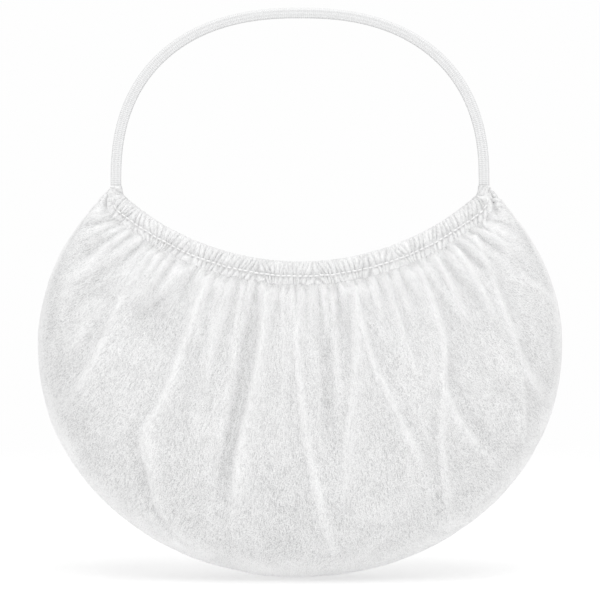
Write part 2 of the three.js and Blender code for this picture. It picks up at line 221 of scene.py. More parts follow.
def install(obj: bpy.types.Object, material: bpy.types.Material, slot: Slot, *nodes: str) -> None:
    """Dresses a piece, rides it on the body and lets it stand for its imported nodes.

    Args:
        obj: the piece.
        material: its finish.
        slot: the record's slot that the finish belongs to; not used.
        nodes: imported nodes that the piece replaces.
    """
    obj.data.materials.clear()
    obj.data.materials.append(material)
    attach(obj, BODY)
    if nodes:
        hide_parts(*nodes)
    log.info("%s: %d faces", obj.name, len(obj.data.polygons))


# Irregular patterns that come out the same each run


@dataclass(frozen=True)
class ValueNoise:
    """Smooth random heights over a plane: values at the points of a lattice, eased between."""

    seed: int
    size: int = 64

    def at(self, across: Array, down: Array) -> Array:
        """Heights from -1 to 1.

        Args:
            across: first coordinate, in cells of the lattice.
            down: second coordinate, in cells of the lattice.

        Returns:
            The height at each place.
        """
        lattice = np.random.default_rng(self.seed).uniform(-1.0, 1.0, (self.size, self.size))
        i, j = np.floor(across).astype(int), np.floor(down).astype(int)
        u, v = smooth_step(across - i), smooth_step(down - j)
        i, i_next = i % self.size, (i + 1) % self.size
        j, j_next = j % self.size, (j + 1) % self.size
        left = lattice[i, j] * (1 - v) + lattice[i, j_next] * v
        right = lattice[i_next, j] * (1 - v) + lattice[i_next, j_next] * v
        return left * (1 - u) + right * u

    def along(self, share: Array, cells: float, start: float, row: float) -> Array:
        """Heights along one row of the lattice.

        Args:
            share: places along a line, as shares of it.
            cells: how many cells the line crosses.
            start: where it starts.
            row: the second coordinate, the same all along.

        Returns:
            The height at each place.
        """
        return self.at(share * cells + start, np.full(share.shape, row))


@dataclass(frozen=True)
class Ruffles:
    """Uneven ruffles side by side along a rim, each a rounded puff between two creases."""

    count: int
    unevenness: float
    seed: int

    @property
    def creases(self) -> Array:
        """Places of the creases along the rim: a running sum of uneven widths.

        Returns:
            The places as shares, one more than there are ruffles.
        """
        rng = np.random.default_rng(self.seed)
        widths = 1.0 + self.unevenness * rng.uniform(-1.0, 1.0, self.count)
        places = np.concatenate([[0.0], np.cumsum(widths)])
        return places / places[-1]

    def draws(self, low: float, high: float, salt: int) -> Array:
        """One random number for each ruffle.

        Args:
            low: least number.
            high: greatest number.
            salt: tells one draw from another.

        Returns:
            As many numbers as there are ruffles.
        """
        return np.random.default_rng(self.seed + salt).uniform(low, high, self.count)

    def locate(self, share: Array) -> tuple[Array, Array]:
        """Which ruffle a place of the rim is in, and how far across it.

        Args:
            share: places along the rim.

        Returns:
            The ruffle's number, and the place from 0 to 1 between its creases.
        """
        creases = self.creases
        held = np.clip(share, 0.0, 1.0 - 1e-9)
        number = np.clip(np.searchsorted(creases, held, side="right") - 1, 0, self.count - 1)
        return number, (held - creases[number]) / (creases[number + 1] - creases[number])


@dataclass(frozen=True)
class CoarseRuffles(Ruffles):
    """Ruffles that each join several of a finer set, so that their creases line up."""

    finer: Ruffles
    joined: int

    @classmethod
    def joining(cls, finer: Ruffles, joined: int) -> "CoarseRuffles":
        """Joins a number of a finer set's ruffles into each."""
        return cls(finer.count // joined, finer.unevenness, finer.seed, finer, joined)

    @property
    def creases(self) -> Array:
        """The creases of the finer set that lie between the joined ones.

        Returns:
            The places as shares, from 0 to 1.
        """
        places = self.finer.creases[:: self.joined]
        places = places[: self.count + 1].copy()
        places[-1] = 1.0
        return places


# The net's sizes and its two guiding lines


@dataclass(frozen=True)
class NetSizes:
    """Sizes of the net in metres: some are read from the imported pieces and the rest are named."""

    band_width: float
    band_thickness: float
    loop_half_span: float
    rim_low: float
    mouth_half: float
    pouch_half_width: float
    pouch_bottom: float
    loop_rise: float = 72.0 * MM
    leg_straight: float = 4.6 * MM
    loop_squareness: float = 2.35
    corner_bend: float = 8.0 * MM
    hem_depth: float = 9.4 * MM
    hem_wall: float = 1.0 * MM
    gap: float = 0.3 * MM
    back_dip: float = 7.0 * MM
    tip_rise: float = 2.4 * MM
    corner_half: float = 3.0 * MM
    widest_drop: float = 62.0 * MM
    pouch_depth: float = 82.0 * MM
    shoulder_half: float = 84.5 * MM
    shoulder_rise: float = 90.5 * MM
    bottom_squareness: float = 2.04
    tip_half: float = 1.7 * MM
    fold_tip_share: float = 0.6
    fullest: float = 0.5
    upper_swell: float = 2.2
    lower_swell: float = 2.8
    mouth_fullness: float = 1.25
    pouch_fullness: float = 0.72

    @classmethod
    def from_frame(cls) -> "NetSizes":
        """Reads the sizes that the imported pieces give.

        Returns:
            The sizes, with the named ones as they stand above.
        """
        band_low, band_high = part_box("elastic_band")
        pouch_low, pouch_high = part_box("pouch")
        thickness = 2.0 * band_high.y
        return cls(
            band_width=band_high.z,
            band_thickness=thickness,
            loop_half_span=band_high.x - band_high.z / 2,
            rim_low=band_low.z + band_high.z / 2,
            mouth_half=-band_low.y - thickness / 2,
            pouch_half_width=pouch_high.x,
            pouch_bottom=pouch_low.z,
        )

    @property
    def crown(self) -> float:
        """Height of the band's centre-line at the crown."""
        return self.band_width / 2

    @property
    def bend_height(self) -> float:
        """Height at which the legs turn into the rim."""
        return self.crown - self.loop_rise

    @property
    def hem_above(self) -> float:
        """From the band's centre-line up to the hem's folded edge."""
        return self.band_width / 2 + self.gap + self.hem_wall

    @property
    def hem_below(self) -> float:
        """From the band's centre-line down to the hem's raw edge."""
        return self.hem_depth - self.hem_above


def openness(share: Array) -> Array:
    """How far open the mouth is: the sine of a half turn, 0 at the corners, 1 at the middle."""
    return np.sin(np.pi * np.clip(share, 0.0, 1.0))


class Rim:
    """The band's centre-line along the mouth: a large arc that a small bend joins to each leg."""

    def __init__(self, sizes: NetSizes) -> None:
        """Works out the arcs.

        Args:
            sizes: the net's sizes.
        """
        self.sizes = sizes
        sag = sizes.bend_height - sizes.rim_low
        bend = sizes.corner_bend
        self.bend_centre = sizes.loop_half_span - bend
        self.radius = (sag**2 + self.bend_centre**2 - bend**2) / (2 * (sag - bend))
        self.centre = sizes.rim_low + self.radius
        self.angle = math.asin(self.bend_centre / (self.radius - bend))
        self.bend_length = bend * (math.pi / 2 - self.angle)
        self.length = 2 * (self.bend_length + self.radius * self.angle)

    def line(self, share: Array) -> tuple[Array, Array, Array, Array]:
        """The centre-line seen from the front. Outside 0 to 1 it climbs the legs.

        On a bend the point is the bend's centre plus its radius times the direction down the
        hem, and on the large arc it is the arc's centre plus its radius times that direction.

        Args:
            share: places from the left corner to the right one.

        Returns:
            x, z, and the x and z of the direction that points down the hem.
        """
        side = np.where(share < 0.5, -1.0, 1.0)
        run = self.length * np.where(share < 0.5, share, 1.0 - share)
        turn = np.clip(run, 0.0, self.bend_length) / self.sizes.corner_bend
        angle = side * (self.angle - (run - self.bend_length) / self.radius)
        on_bend = run < self.bend_length
        down_x = np.where(on_bend, side * np.cos(turn), np.sin(angle))
        down_z = np.where(on_bend, -np.sin(turn), -np.cos(angle))
        x = np.where(
            on_bend, side * self.bend_centre + self.sizes.corner_bend * down_x, self.radius * down_x
        )
        z = np.where(
            on_bend,
            self.sizes.bend_height + self.sizes.corner_bend * down_z - np.minimum(run, 0.0),
            self.centre + self.radius * down_z,
        )
        return x, z, down_x, down_z

    def mouth_half(self, share: Array) -> Array:
        """Half of the mouth's depth: its least at the corners plus a power of the openness.

        Args:
            share: places along the rim.

        Returns:
            Half depths in metres.
        """
        sizes = self.sizes
        spread = sizes.mouth_half - sizes.corner_half
        return sizes.corner_half + spread * openness(share) ** sizes.mouth_fullness

    def leg_lean(self, height: Array) -> Array:
        """How far a leg stands forward: from the corner's half depth down to 0 at the crown."""
        sizes = self.sizes
        return sizes.corner_half * np.clip((sizes.crown - height) / sizes.loop_rise, 0.0, 1.0)

    def point(self, share: Array, side: Side) -> Array:
        """Points of a rim's centre-line in space.

        Args:
            share: places from the left corner to the right one.
            side: the front rim, or the back one that dips a little lower.

        Returns:
            Points, with 3 as the last size.
        """
        x, z, _, _ = self.line(share)
        on_leg = (share < 0.0) | (share > 1.0)
        depth = np.where(on_leg, self.leg_lean(z), self.mouth_half(share))
        dip = self.sizes.back_dip * openness(share) ** 2 if side is Side.BACK else 0.0
        return np.stack([x, side.value * depth, z - dip], axis=-1)

    def frame(self, share: Array, side: Side) -> tuple[Array, Array, Array, Array]:
        """Points of a rim with three directions at right angles.

        Args:
            share: places from the left corner to the right one.
            side: the front or the back rim.

        Returns:
            The points, and the directions along the rim, down the hem and out of the cloth.
        """
        along = unit(self.point(share + TURN_STEP, side) - self.point(share - TURN_STEP, side))
        _, _, down_x, down_z = self.line(share)
        down = np.stack([down_x, np.zeros_like(down_x), down_z], axis=-1)
        down = unit(down - along * np.sum(down * along, axis=-1, keepdims=True))
        out = np.cross(along, down)
        out = out * np.where(out[..., 1:2] * side.value < 0, -1.0, 1.0)
        return self.point(share, side), along, down, out


class FoldLine:
    """The pouch's outline from the front: half an ellipse, and the ends of a flatter one above it.

    x and z follow the cosine and the sine of a turn. Below the widest level each is taken to
    the power of 2 over the squareness, which makes the bottom a little squarish.
    """

    def __init__(self, rim: Rim, steps: int = 4000) -> None:
        """Traces the outline from the left corner round the bottom to the right one.

        Args:
            rim: the rim that it starts from.
            steps: points that are traced.
        """
        sizes = rim.sizes
        half = sizes.pouch_half_width
        widest = sizes.bend_height - sizes.widest_drop
        start = math.acos(sizes.shoulder_half / half)
        turn = np.linspace(-start, math.pi + start, steps)
        upper = np.sin(turn) < 0
        height = np.where(upper, sizes.shoulder_rise, widest - sizes.pouch_bottom)
        power = np.where(upper, 1.0, 2.0 / sizes.bottom_squareness)
        across = np.sign(np.cos(turn)) * np.abs(np.cos(turn)) ** power
        drop = np.sign(np.sin(turn)) * np.abs(np.sin(turn)) ** power
        tip_x = sizes.loop_half_span + sizes.tip_half
        tip_z = sizes.bend_height + sizes.tip_rise * sizes.fold_tip_share
        self.x = np.concatenate([[-tip_x], -half * across, [tip_x]])
        self.z = np.concatenate([[tip_z], widest - height * drop, [tip_z]])
        lengths = np.hypot(np.diff(self.x), np.diff(self.z))
        self.run = np.concatenate([[0.0], np.cumsum(lengths)])
        self.length = float(self.run[-1])

    def point(self, share: Array) -> tuple[Array, Array]:
        """x and z of the outline at shares of its length."""
        run = np.clip(share, 0.0, 1.0) * self.length
        return np.interp(run, self.run, self.x), np.interp(run, self.run, self.z)


# The pleats of the cloth


@dataclass(frozen=True)
class Crease:
    """One pleat or valley: a line on a panel with a height, a width and a steep flank.

    The route holds two to five places as shares: along the panel from left to right, and down
    it from the rim to the fold. Heights and widths are shares of the panel's own sizes, the
    edge is how much of the height a thin line takes and how strong a highlight is painted on
    it, and the fades are shares of the length.
    """

    route: tuple[tuple[float, float], ...]
    height: float
    width: float = 1.0
    steep: Steep = Steep.NEITHER
    edge: float = 0.35
    fade_in: float = 0.12
    fade_out: float = 0.25


@dataclass(frozen=True)
class Dent:
    """A shallow hollow or swelling: an oval, its place in shares and its reach in metres."""

    place: tuple[float, float]
    across: float
    down: float
    height: float


LEFT, RIGHT, NEITHER = Steep.LEFT, Steep.RIGHT, Steep.NEITHER

# Columns: route, height, width, steep flank, edge, fade in, fade out
FRONT_CREASES = (
    Crease(((0.022, 0.00), (0.032, 0.74), (0.064, 0.88)), 0.22, 0.55, LEFT, 0.3),
    Crease(((0.066, 0.03), (0.102, 0.41), (0.118, 0.72)), 0.42, 0.60, LEFT, 0.3),
    Crease(((0.126, 0.02), (0.144, 0.33), (0.148, 0.50)), 0.40, 0.55, LEFT, 0.3),
    Crease(
        ((0.180, 0.02), (0.184, 0.30), (0.220, 0.63), (0.228, 0.95)),
        1.00, 1.15, LEFT, 0.40, 0.1, 0.3,
    ),
    Crease(((0.250, 0.00), (0.218, 0.34)), 0.40, 0.60, RIGHT, 0.3),
    Crease(
        ((0.298, 0.00), (0.320, 0.42), (0.318, 0.67), (0.342, 0.78), (0.364, 0.92)),
        0.78, 0.85, LEFT, 0.45,
    ),
    Crease(((0.316, 0.00), (0.316, 0.15), (0.340, 0.30)), 0.30, 0.40, RIGHT, 0.3),
    Crease(((0.350, 0.00), (0.356, 0.22), (0.368, 0.46)), 0.30, 0.55, NEITHER, 0.3),
    Crease(((0.428, 0.00), (0.436, 0.25), (0.428, 0.56), (0.436, 0.84)), 0.85, 0.80, LEFT, 0.35),
    Crease(
        ((0.408, 0.14), (0.416, 0.42), (0.416, 0.62), (0.420, 0.86)),
        -0.62, 0.55, NEITHER, 0.0, 0.25, 0.35,
    ),
    Crease(
        ((0.488, 0.02), (0.496, 0.24), (0.510, 0.53), (0.532, 0.91), (0.540, 0.97)),
        0.62, 0.55, NEITHER, 0.6,
    ),
    Crease(((0.552, 0.14), (0.540, 0.38), (0.536, 0.67)), -0.65, 0.60, NEITHER, 0.0, 0.35, 0.45),
    Crease(((0.632, 0.00), (0.586, 0.28), (0.558, 0.55), (0.546, 0.78)), 0.80, 0.80, LEFT, 0.35),
    Crease(((0.616, 0.00), (0.612, 0.26), (0.622, 0.42), (0.638, 0.74)), 0.75, 0.80, RIGHT, 0.55),
    Crease(((0.690, 0.00), (0.676, 0.22), (0.668, 0.42)), 0.40, 0.55, RIGHT, 0.35),
    Crease(((0.770, 0.00), (0.726, 0.35), (0.692, 0.54), (0.706, 0.93)), 0.92, 0.95, RIGHT, 0.50),
    Crease(((0.694, 0.50), (0.664, 0.66), (0.640, 0.96)), 0.50, 0.50, LEFT, 0.60),
    Crease(((0.820, 0.00), (0.790, 0.22), (0.776, 0.40)), 0.38, 0.50, RIGHT, 0.4),
    Crease(((0.862, 0.02), (0.802, 0.53)), 0.40, 0.45, RIGHT, 0.6),
    Crease(((0.920, 0.03), (0.806, 0.64), (0.784, 0.96)), 0.90, 1.00, RIGHT, 0.50),
    Crease(((0.948, 0.06), (0.892, 0.62), (0.880, 0.97)), 0.42, 0.60, RIGHT, 0.5),
    Crease(
        ((0.792, 0.70), (0.742, 0.91), (0.704, 0.93), (0.644, 0.945), (0.596, 0.945)),
        0.30, 0.55, RIGHT, 0.30, 0.4, 0.5,
    ),
    Crease(
        ((0.592, 0.87), (0.562, 0.915), (0.538, 0.945), (0.526, 0.87)),
        0.16, 0.40, NEITHER, 0.5, 0.5, 0.5,
    ),
    Crease(((0.322, 0.66), (0.346, 0.79), (0.368, 0.89), (0.414, 0.955)), 0.38, 0.45, LEFT, 0.5),
    Crease(((0.350, 0.90), (0.382, 0.96), (0.412, 0.972)), 0.26, 0.40, NEITHER, 0.5),
)

# Columns: place, reach across, reach down, height
FRONT_DENTS = (
    Dent((0.252, 0.30), 9.0 * MM, 10.0 * MM, -0.85),
    Dent((0.168, 0.42), 6.0 * MM, 14.0 * MM, -0.30),
    Dent((0.384, 0.72), 12.0 * MM, 22.0 * MM, -0.34),
    Dent((0.484, 0.78), 12.0 * MM, 18.0 * MM, -0.50),
    Dent((0.604, 0.60), 8.0 * MM, 16.0 * MM, -0.26),
    Dent((0.700, 0.72), 10.0 * MM, 18.0 * MM, -0.30),
    Dent((0.768, 0.46), 8.0 * MM, 16.0 * MM, -0.30),
    Dent((0.914, 0.74), 8.0 * MM, 14.0 * MM, -0.26),
    Dent((0.194, 0.82), 10.0 * MM, 10.0 * MM, -0.24),
    Dent((0.288, 0.74), 12.0 * MM, 16.0 * MM, 0.16),
    Dent((0.358, 0.42), 8.0 * MM, 16.0 * MM, -0.18),
)

BACK_CREASES = (
    Crease(((0.050, 0.00), (0.078, 0.50), (0.100, 0.82)), 0.40, 0.60, LEFT, 0.4),
    Crease(((0.135, 0.00), (0.170, 0.50), (0.192, 0.95)), 0.85, 0.95, LEFT, 0.45),
    Crease(((0.215, 0.00), (0.236, 0.30), (0.250, 0.52)), 0.45, 0.60, RIGHT, 0.4),
    Crease(((0.290, 0.00), (0.312, 0.45), (0.318, 0.94)), 0.85, 0.90, LEFT, 0.50),
    Crease(((0.345, 0.10), (0.350, 0.45), (0.352, 0.82)), -0.55, 0.60, NEITHER, 0.0, 0.3, 0.4),
    Crease(((0.385, 0.00), (0.396, 0.45), (0.400, 0.88)), 0.72, 0.80, LEFT, 0.40),
    Crease(((0.470, 0.00), (0.462, 0.50), (0.466, 0.96)), 0.80, 0.80, NEITHER, 0.55),
    Crease(((0.520, 0.08), (0.524, 0.40), (0.524, 0.72)), -0.50, 0.60, NEITHER, 0.0, 0.3, 0.4),
    Crease(((0.562, 0.00), (0.574, 0.45), (0.575, 0.90)), 0.78, 0.80, RIGHT, 0.45),
    Crease(((0.655, 0.00), (0.636, 0.50), (0.630, 0.95)), 0.85, 0.90, RIGHT, 0.50),
    Crease(((0.735, 0.00), (0.724, 0.30), (0.715, 0.56)), 0.45, 0.60, LEFT, 0.4),
    Crease(((0.815, 0.00), (0.784, 0.50), (0.770, 0.94)), 0.88, 0.95, RIGHT, 0.50),
    Crease(((0.900, 0.00), (0.876, 0.45), (0.862, 0.88)), 0.50, 0.65, RIGHT, 0.4),
)

BACK_DENTS = (
    Dent((0.240, 0.70), 12.0 * MM, 18.0 * MM, -0.34),
    Dent((0.430, 0.72), 12.0 * MM, 20.0 * MM, -0.40),
    Dent((0.600, 0.74), 12.0 * MM, 20.0 * MM, -0.36),
    Dent((0.720, 0.74), 10.0 * MM, 16.0 * MM, -0.30),
)


@dataclass(frozen=True)
class GatherSet:
    """Gathers of one coarseness, which run out of the rim and fade between two lengths."""

    joined: int
    rise: float
    start: float
    shortest: float
    longest: float


GATHER_SETS = (
    GatherSet(joined=2, rise=1.4 * MM, start=0.0 * MM, shortest=9.0 * MM, longest=24.0 * MM),
    GatherSet(joined=4, rise=1.9 * MM, start=4.0 * MM, shortest=24.0 * MM, longest=62.0 * MM),
)


@dataclass(frozen=True)
class PanelFolds:
    """All the folds of one panel: main pleats, gathers that run out of the rim, and crumple.

    The crumple's sizes are pairs: the cell of the pattern, and its share of the height.
    """

    creases: Sequence[Crease]
    dents: Sequence[Dent]
    ruffles: Ruffles
    seed: int
    gather_sets: Sequence[GatherSet] = GATHER_SETS
    pleat_height: float = 3.8 * MM
    pleat_width: float = 8.5 * MM
    steep_share: float = 0.34
    round_share: float = 0.6
    toe_place: float = 2.0
    toe_depth: float = 0.16
    edge_width: float = 1.2 * MM
    edge_part: float = 0.5
    route_steps: int = 6
    fade_start: float = 0.35
    lean: float = 0.075
    lean_reach: float = 110.0 * MM
    lean_above: float = -0.1
    gather_least: float = 0.45
    gather_most: float = 1.25
    puff_power: float = 0.6
    power_growth: float = 2.2
    power_reach: float = 40.0 * MM
    grow_reach: float = 6.0 * MM
    fade_end: float = 1.4
    fade_length: float = 1.2
    crumple: float = 0.45 * MM
    crumple_sizes: Sequence[tuple[float, float]] = (
        (26.0 * MM, 1.0),
        (12.0 * MM, 0.45),
        (5.5 * MM, 0.16),
    )
    crumple_stretch: float = 1.5
    crumple_start: tuple[float, float] = (20.3, 31.7)

    @staticmethod
    def route_line(route: Sequence[tuple[float, float]], steps: int) -> Array:
        """A smooth line through a route's places.

        Between two places it is a cubic curve, whose direction at each place is that from the
        place before to the place after. The first and last places count twice.

        Args:
            route: places as pairs of shares.
            steps: pieces between two places.

        Returns:
            Places along the line, each a pair of shares.
        """
        knots = np.array([route[0], *route, route[-1]], float)
        t = np.linspace(0.0, 1.0, steps, endpoint=False)[:, None]
        pieces = []
        for k in range(len(route) - 1):
            a, b, c, d = knots[k : k + 4]
            curve = 2 * b + (c - a) * t + (2 * a - 5 * b + 4 * c - d) * t**2
            pieces.append(0.5 * (curve + (3 * b - a - 3 * c + d) * t**3))
        return np.concatenate([*pieces, knots[-1:]])

    def crease_place(self, line: Array, x: Array, z: Array) -> tuple[Array, Array]:
        """Where the panel's points lie beside a line, seen from the front.

        For each piece of the line the nearest point is found by projection; the nearest of all
        gives the distance, positive to the right, and the share of the line's length.

        Args:
            line: points of the line, each x and z.
            x: x of the panel's points.
            z: z of the panel's points.

        Returns:
            The distance beside the line in metres, and the share along it.
        """
        steps = np.diff(line, axis=0)
        lengths = np.hypot(steps[:, 0], steps[:, 1])
        run = np.concatenate([[0.0], np.cumsum(lengths)])
        nearest = np.full(x.shape, np.inf)
        beside = np.zeros(x.shape)
        along = np.zeros(x.shape)
        for k, (step, length) in enumerate(zip(steps, lengths)):
            dx, dz = x - line[k, 0], z - line[k, 1]
            part = np.clip((dx * step[0] + dz * step[1]) / length**2, 0.0, 1.0)
            away = np.hypot(dx - part * step[0], dz - part * step[1])
            cross = dx * -step[1] + dz * step[0]
            closer = away < nearest
            nearest = np.where(closer, away, nearest)
            beside = np.where(closer, away * np.where(cross < 0, -1.0, 1.0), beside)
            along = np.where(closer, run[k] + part * length, along)
        return beside, along / run[-1]

    def crease_profile(self, crease: Crease, beside: Array) -> tuple[Array, Array]:
        """Height across a crease: a round body, narrower on its steep flank, and a thin edge.

        Args:
            crease: the crease.
            beside: distance beside its line, positive to the right.

        Returns:
            The height from 0 to 1, and the thin edge alone, where a highlight is painted.
        """
        width = self.pleat_width * crease.width
        steep = beside * crease.steep.value > 0
        flank = np.where(steep, width * self.steep_share, width)
        if crease.steep is Steep.NEITHER:
            flank = width * self.round_share
        body = np.exp(-((beside / flank) ** 2))
        edge = np.exp(-((beside / self.edge_width) ** 2))
        toe = np.exp(-((np.abs(beside) / flank - self.toe_place) ** 2))
        toe = toe * np.where(steep, self.toe_depth, 0.0)
        part = crease.edge * self.edge_part
        return (1.0 - part) * body + part * edge - toe, edge

    @staticmethod
    def panel_points(
        places: Array, share: Array, rim_xz: Sequence[Array], fold_xz: Sequence[Array]
    ) -> Array:
        """Where places of a panel lie, seen from the front.

        Each lies on the straight line from the upper edge to the fold at its own column.

        Args:
            places: pairs of shares, along the panel and down it.
            share: the columns' shares.
            rim_xz: x and z of the panel's upper edge for each column.
            fold_xz: x and z of its fold for each column.

        Returns:
            x and z of each place.
        """
        top = [np.interp(places[:, 0], share, line) for line in rim_xz]
        low = [np.interp(places[:, 0], share, line) for line in fold_xz]
        reach = places[:, 1]
        return np.stack([a + (b - a) * reach for a, b in zip(top, low)], axis=-1)

    def pleats(
        self, x: Array, z: Array, rim_xz: Sequence[Array], fold_xz: Sequence[Array], share: Array
    ) -> tuple[Array, Array, Array]:
        """Heights of the main pleats and dents of a panel.

        Args:
            x: x of the panel's points.
            z: z of the panel's points.
            rim_xz: x and z of the panel's upper edge for each column.
            fold_xz: x and z of its fold for each column.
            share: the columns' shares.

        Returns:
            Heights in metres, the mask of edges that get a painted highlight, and the mask of hollows
            that get painted shade.
        """
        height = np.zeros(x.shape)
        bright = np.zeros(x.shape)
        hollow = np.zeros(x.shape)
        for crease in self.creases:
            places = self.route_line(crease.route, self.route_steps)
            line = self.panel_points(places, share, rim_xz, fold_xz)
            beside, along = self.crease_place(line, x, z)
            profile, edge = self.crease_profile(crease, beside)
            fade = smooth_step(along / crease.fade_in + self.fade_start)
            fade = fade * smooth_step((1.0 - along) / crease.fade_out)
            height += self.pleat_height * crease.height * fade * profile
            bright += np.maximum(crease.height, 0.0) * crease.edge * fade * edge
            hollow += np.maximum(-crease.height, 0.0) * fade * profile
        for dent in self.dents:
            centre = self.panel_points(np.array([dent.place]), share, rim_xz, fold_xz)[0]
            oval = ((x - centre[0]) / dent.across) ** 2 + ((z - centre[1]) / dent.down) ** 2
            height += self.pleat_height * dent.height * np.exp(-oval)
            hollow += np.maximum(-dent.height, 0.0) * np.exp(-oval)
        return height, bright, hollow

    def gathers(self, share: Array, below: Array) -> Array:
        """Heights of the gathers that run out of the rim.

        The finest are the hem's own ruffles, and each gather joins two or four of them. A
        gather is a power of a half sine wave across its width; the power grows on the way
        down, so that rounded puffs with sharp creases become narrow pleats on smooth cloth.

        Args:
            share: place along the panel, as a share.
            below: distance below the hem's raw edge, in metres.

        Returns:
            Heights in metres.
        """
        shift = np.clip(below / self.lean_reach, self.lean_above, 1.0)
        source = share - self.lean * np.sin(2 * np.pi * share) * shift
        power = self.puff_power + self.power_growth * np.clip(below / self.power_reach, 0.0, 1.0)
        height = np.zeros(share.shape)
        for gather in self.gather_sets:
            joined = CoarseRuffles.joining(self.ruffles, gather.joined)
            number, across = joined.locate(source)
            lengths = joined.draws(gather.shortest, gather.longest, salt=gather.joined)[number]
            rises = joined.draws(self.gather_least, self.gather_most, salt=7 + gather.joined)[number]
            puff = np.sin(np.pi * np.clip(across, 0.0, 1.0)) ** power
            grow = smooth_step((below - gather.start) / self.grow_reach + 0.5)
            fade = smooth_step((lengths * self.fade_end - below) / (lengths * self.fade_length))
            height += rises * gather.rise * puff * grow * fade
        return height

    def crumpling(self, x: Array, z: Array) -> Array:
        """Soft dents of cloth that was folded in a packet: three sizes of eased random heights.

        Args:
            x: x of the panel's points, in metres.
            z: z of the panel's points, in metres.

        Returns:
            Heights in metres.
        """
        total = np.zeros(x.shape)
        for order, (cell, share) in enumerate(self.crumple_sizes):
            across = x / cell + self.crumple_start[0]
            down = z / (self.crumple_stretch * cell) + self.crumple_start[1]
            total += share * ValueNoise(self.seed + order).at(across, down)
        return self.crumple * total


# Node graphs


def grey(level: float) -> Colour:
    """An opaque grey."""
    return (level, level, level, 1.0)


class Bench:
    """A node tree with short ways to add and join its nodes."""

    # Numbers of the colour sockets on a Mix node
    MIX_FACTOR = 0
    MIX_LOW = 6
    MIX_HIGH = 7
    MIX_RESULT = 2

    def __init__(self, tree: bpy.types.NodeTree) -> None:
        """Keeps the tree."""
        self.tree = tree

    def add(
        self, kind: str, values: Optional[dict[Union[str, int], Value]] = None, **settings: object
    ) -> bpy.types.Node:
        """Adds a node.

        Args:
            kind: the node's type.
            values: constants or sockets for its inputs, by name or number.
            settings: attributes of the node.

        Returns:
            The new node.
        """
        node = self.tree.nodes.new(kind)
        for key, value in settings.items():
            setattr(node, key, value)
        for key, value in (values or {}).items():
            self.feed(node.inputs[key], value)
        return node

    def feed(self, socket: Socket, value: Value) -> None:
        """Sets an input to a constant, or links it to an output.

        Args:
            socket: the input.
            value: the constant or the output.
        """
        if isinstance(value, Socket):
            self.tree.links.new(value, socket)
        else:
            socket.default_value = value

    def math(self, operation: str, *values: Value, clamp: bool = False) -> Socket:
        """A Math node's result.

        Args:
            operation: its operation.
            values: one to three values.
            clamp: the result is held between 0 and 1.

        Returns:
            The result.
        """
        node = self.add("ShaderNodeMath", operation=operation, use_clamp=clamp)
        for socket, value in zip(node.inputs, values):
            self.feed(socket, value)
        return node.outputs[0]

    def blend(self, factor: Value, low: Value, high: Value) -> Socket:
        """A colour between two others."""
        values = {self.MIX_FACTOR: factor, self.MIX_LOW: low, self.MIX_HIGH: high}
        return self.add("ShaderNodeMix", values, data_type="RGBA").outputs[self.MIX_RESULT]

    def spread(
        self, value: Value, low: float, high: float, to_low: float = 0.0, to_high: float = 1.0
    ) -> Socket:
        """Carries a value from one range into another, and holds it there.

        Args:
            value: the value.
            low: one end of the first range.
            high: its other end.
            to_low: what the first end becomes.
            to_high: what the other end becomes.

        Returns:
            The carried value.
        """
        node = self.add("ShaderNodeMapRange", {"From Min": low, "From Max": high})
        node.inputs["To Min"].default_value = to_low
        node.inputs["To Max"].default_value = to_high
        self.feed(node.inputs["Value"], value)
        return node.outputs["Result"]

    def noise(self, place: Value, scale: float, detail: float, output: str = "Fac") -> Socket:
        """Noise at a place, as a number or as a colour."""
        values = {"Vector": place, "Scale": scale, "Detail": detail}
        return self.add("ShaderNodeTexNoise", values).outputs[output]

    def bump(self, height: Value, distance: float, strength: float = 1.0) -> Socket:
        """The normal of a surface with fine relief of a height in metres."""
        values = {"Height": height, "Distance": distance, "Strength": strength}
        return self.add("ShaderNodeBump", values).outputs[0]

    def mask(self, name: str) -> Socket:
        """One of the piece's own values."""
        return self.add("ShaderNodeAttribute", attribute_name=name).outputs["Fac"]

    def cloth_place(self) -> Socket:
        """The place on the cloth, in millimetres."""
        return self.add("ShaderNodeUVMap", uv_map="cloth").outputs[0]

    def cloth_run(self) -> tuple[Socket, Socket]:
        """The two coordinates of the place on the cloth."""
        parts = self.add("ShaderNodeSeparateXYZ", {0: self.cloth_place()})
        return parts.outputs[0], parts.outputs[1]


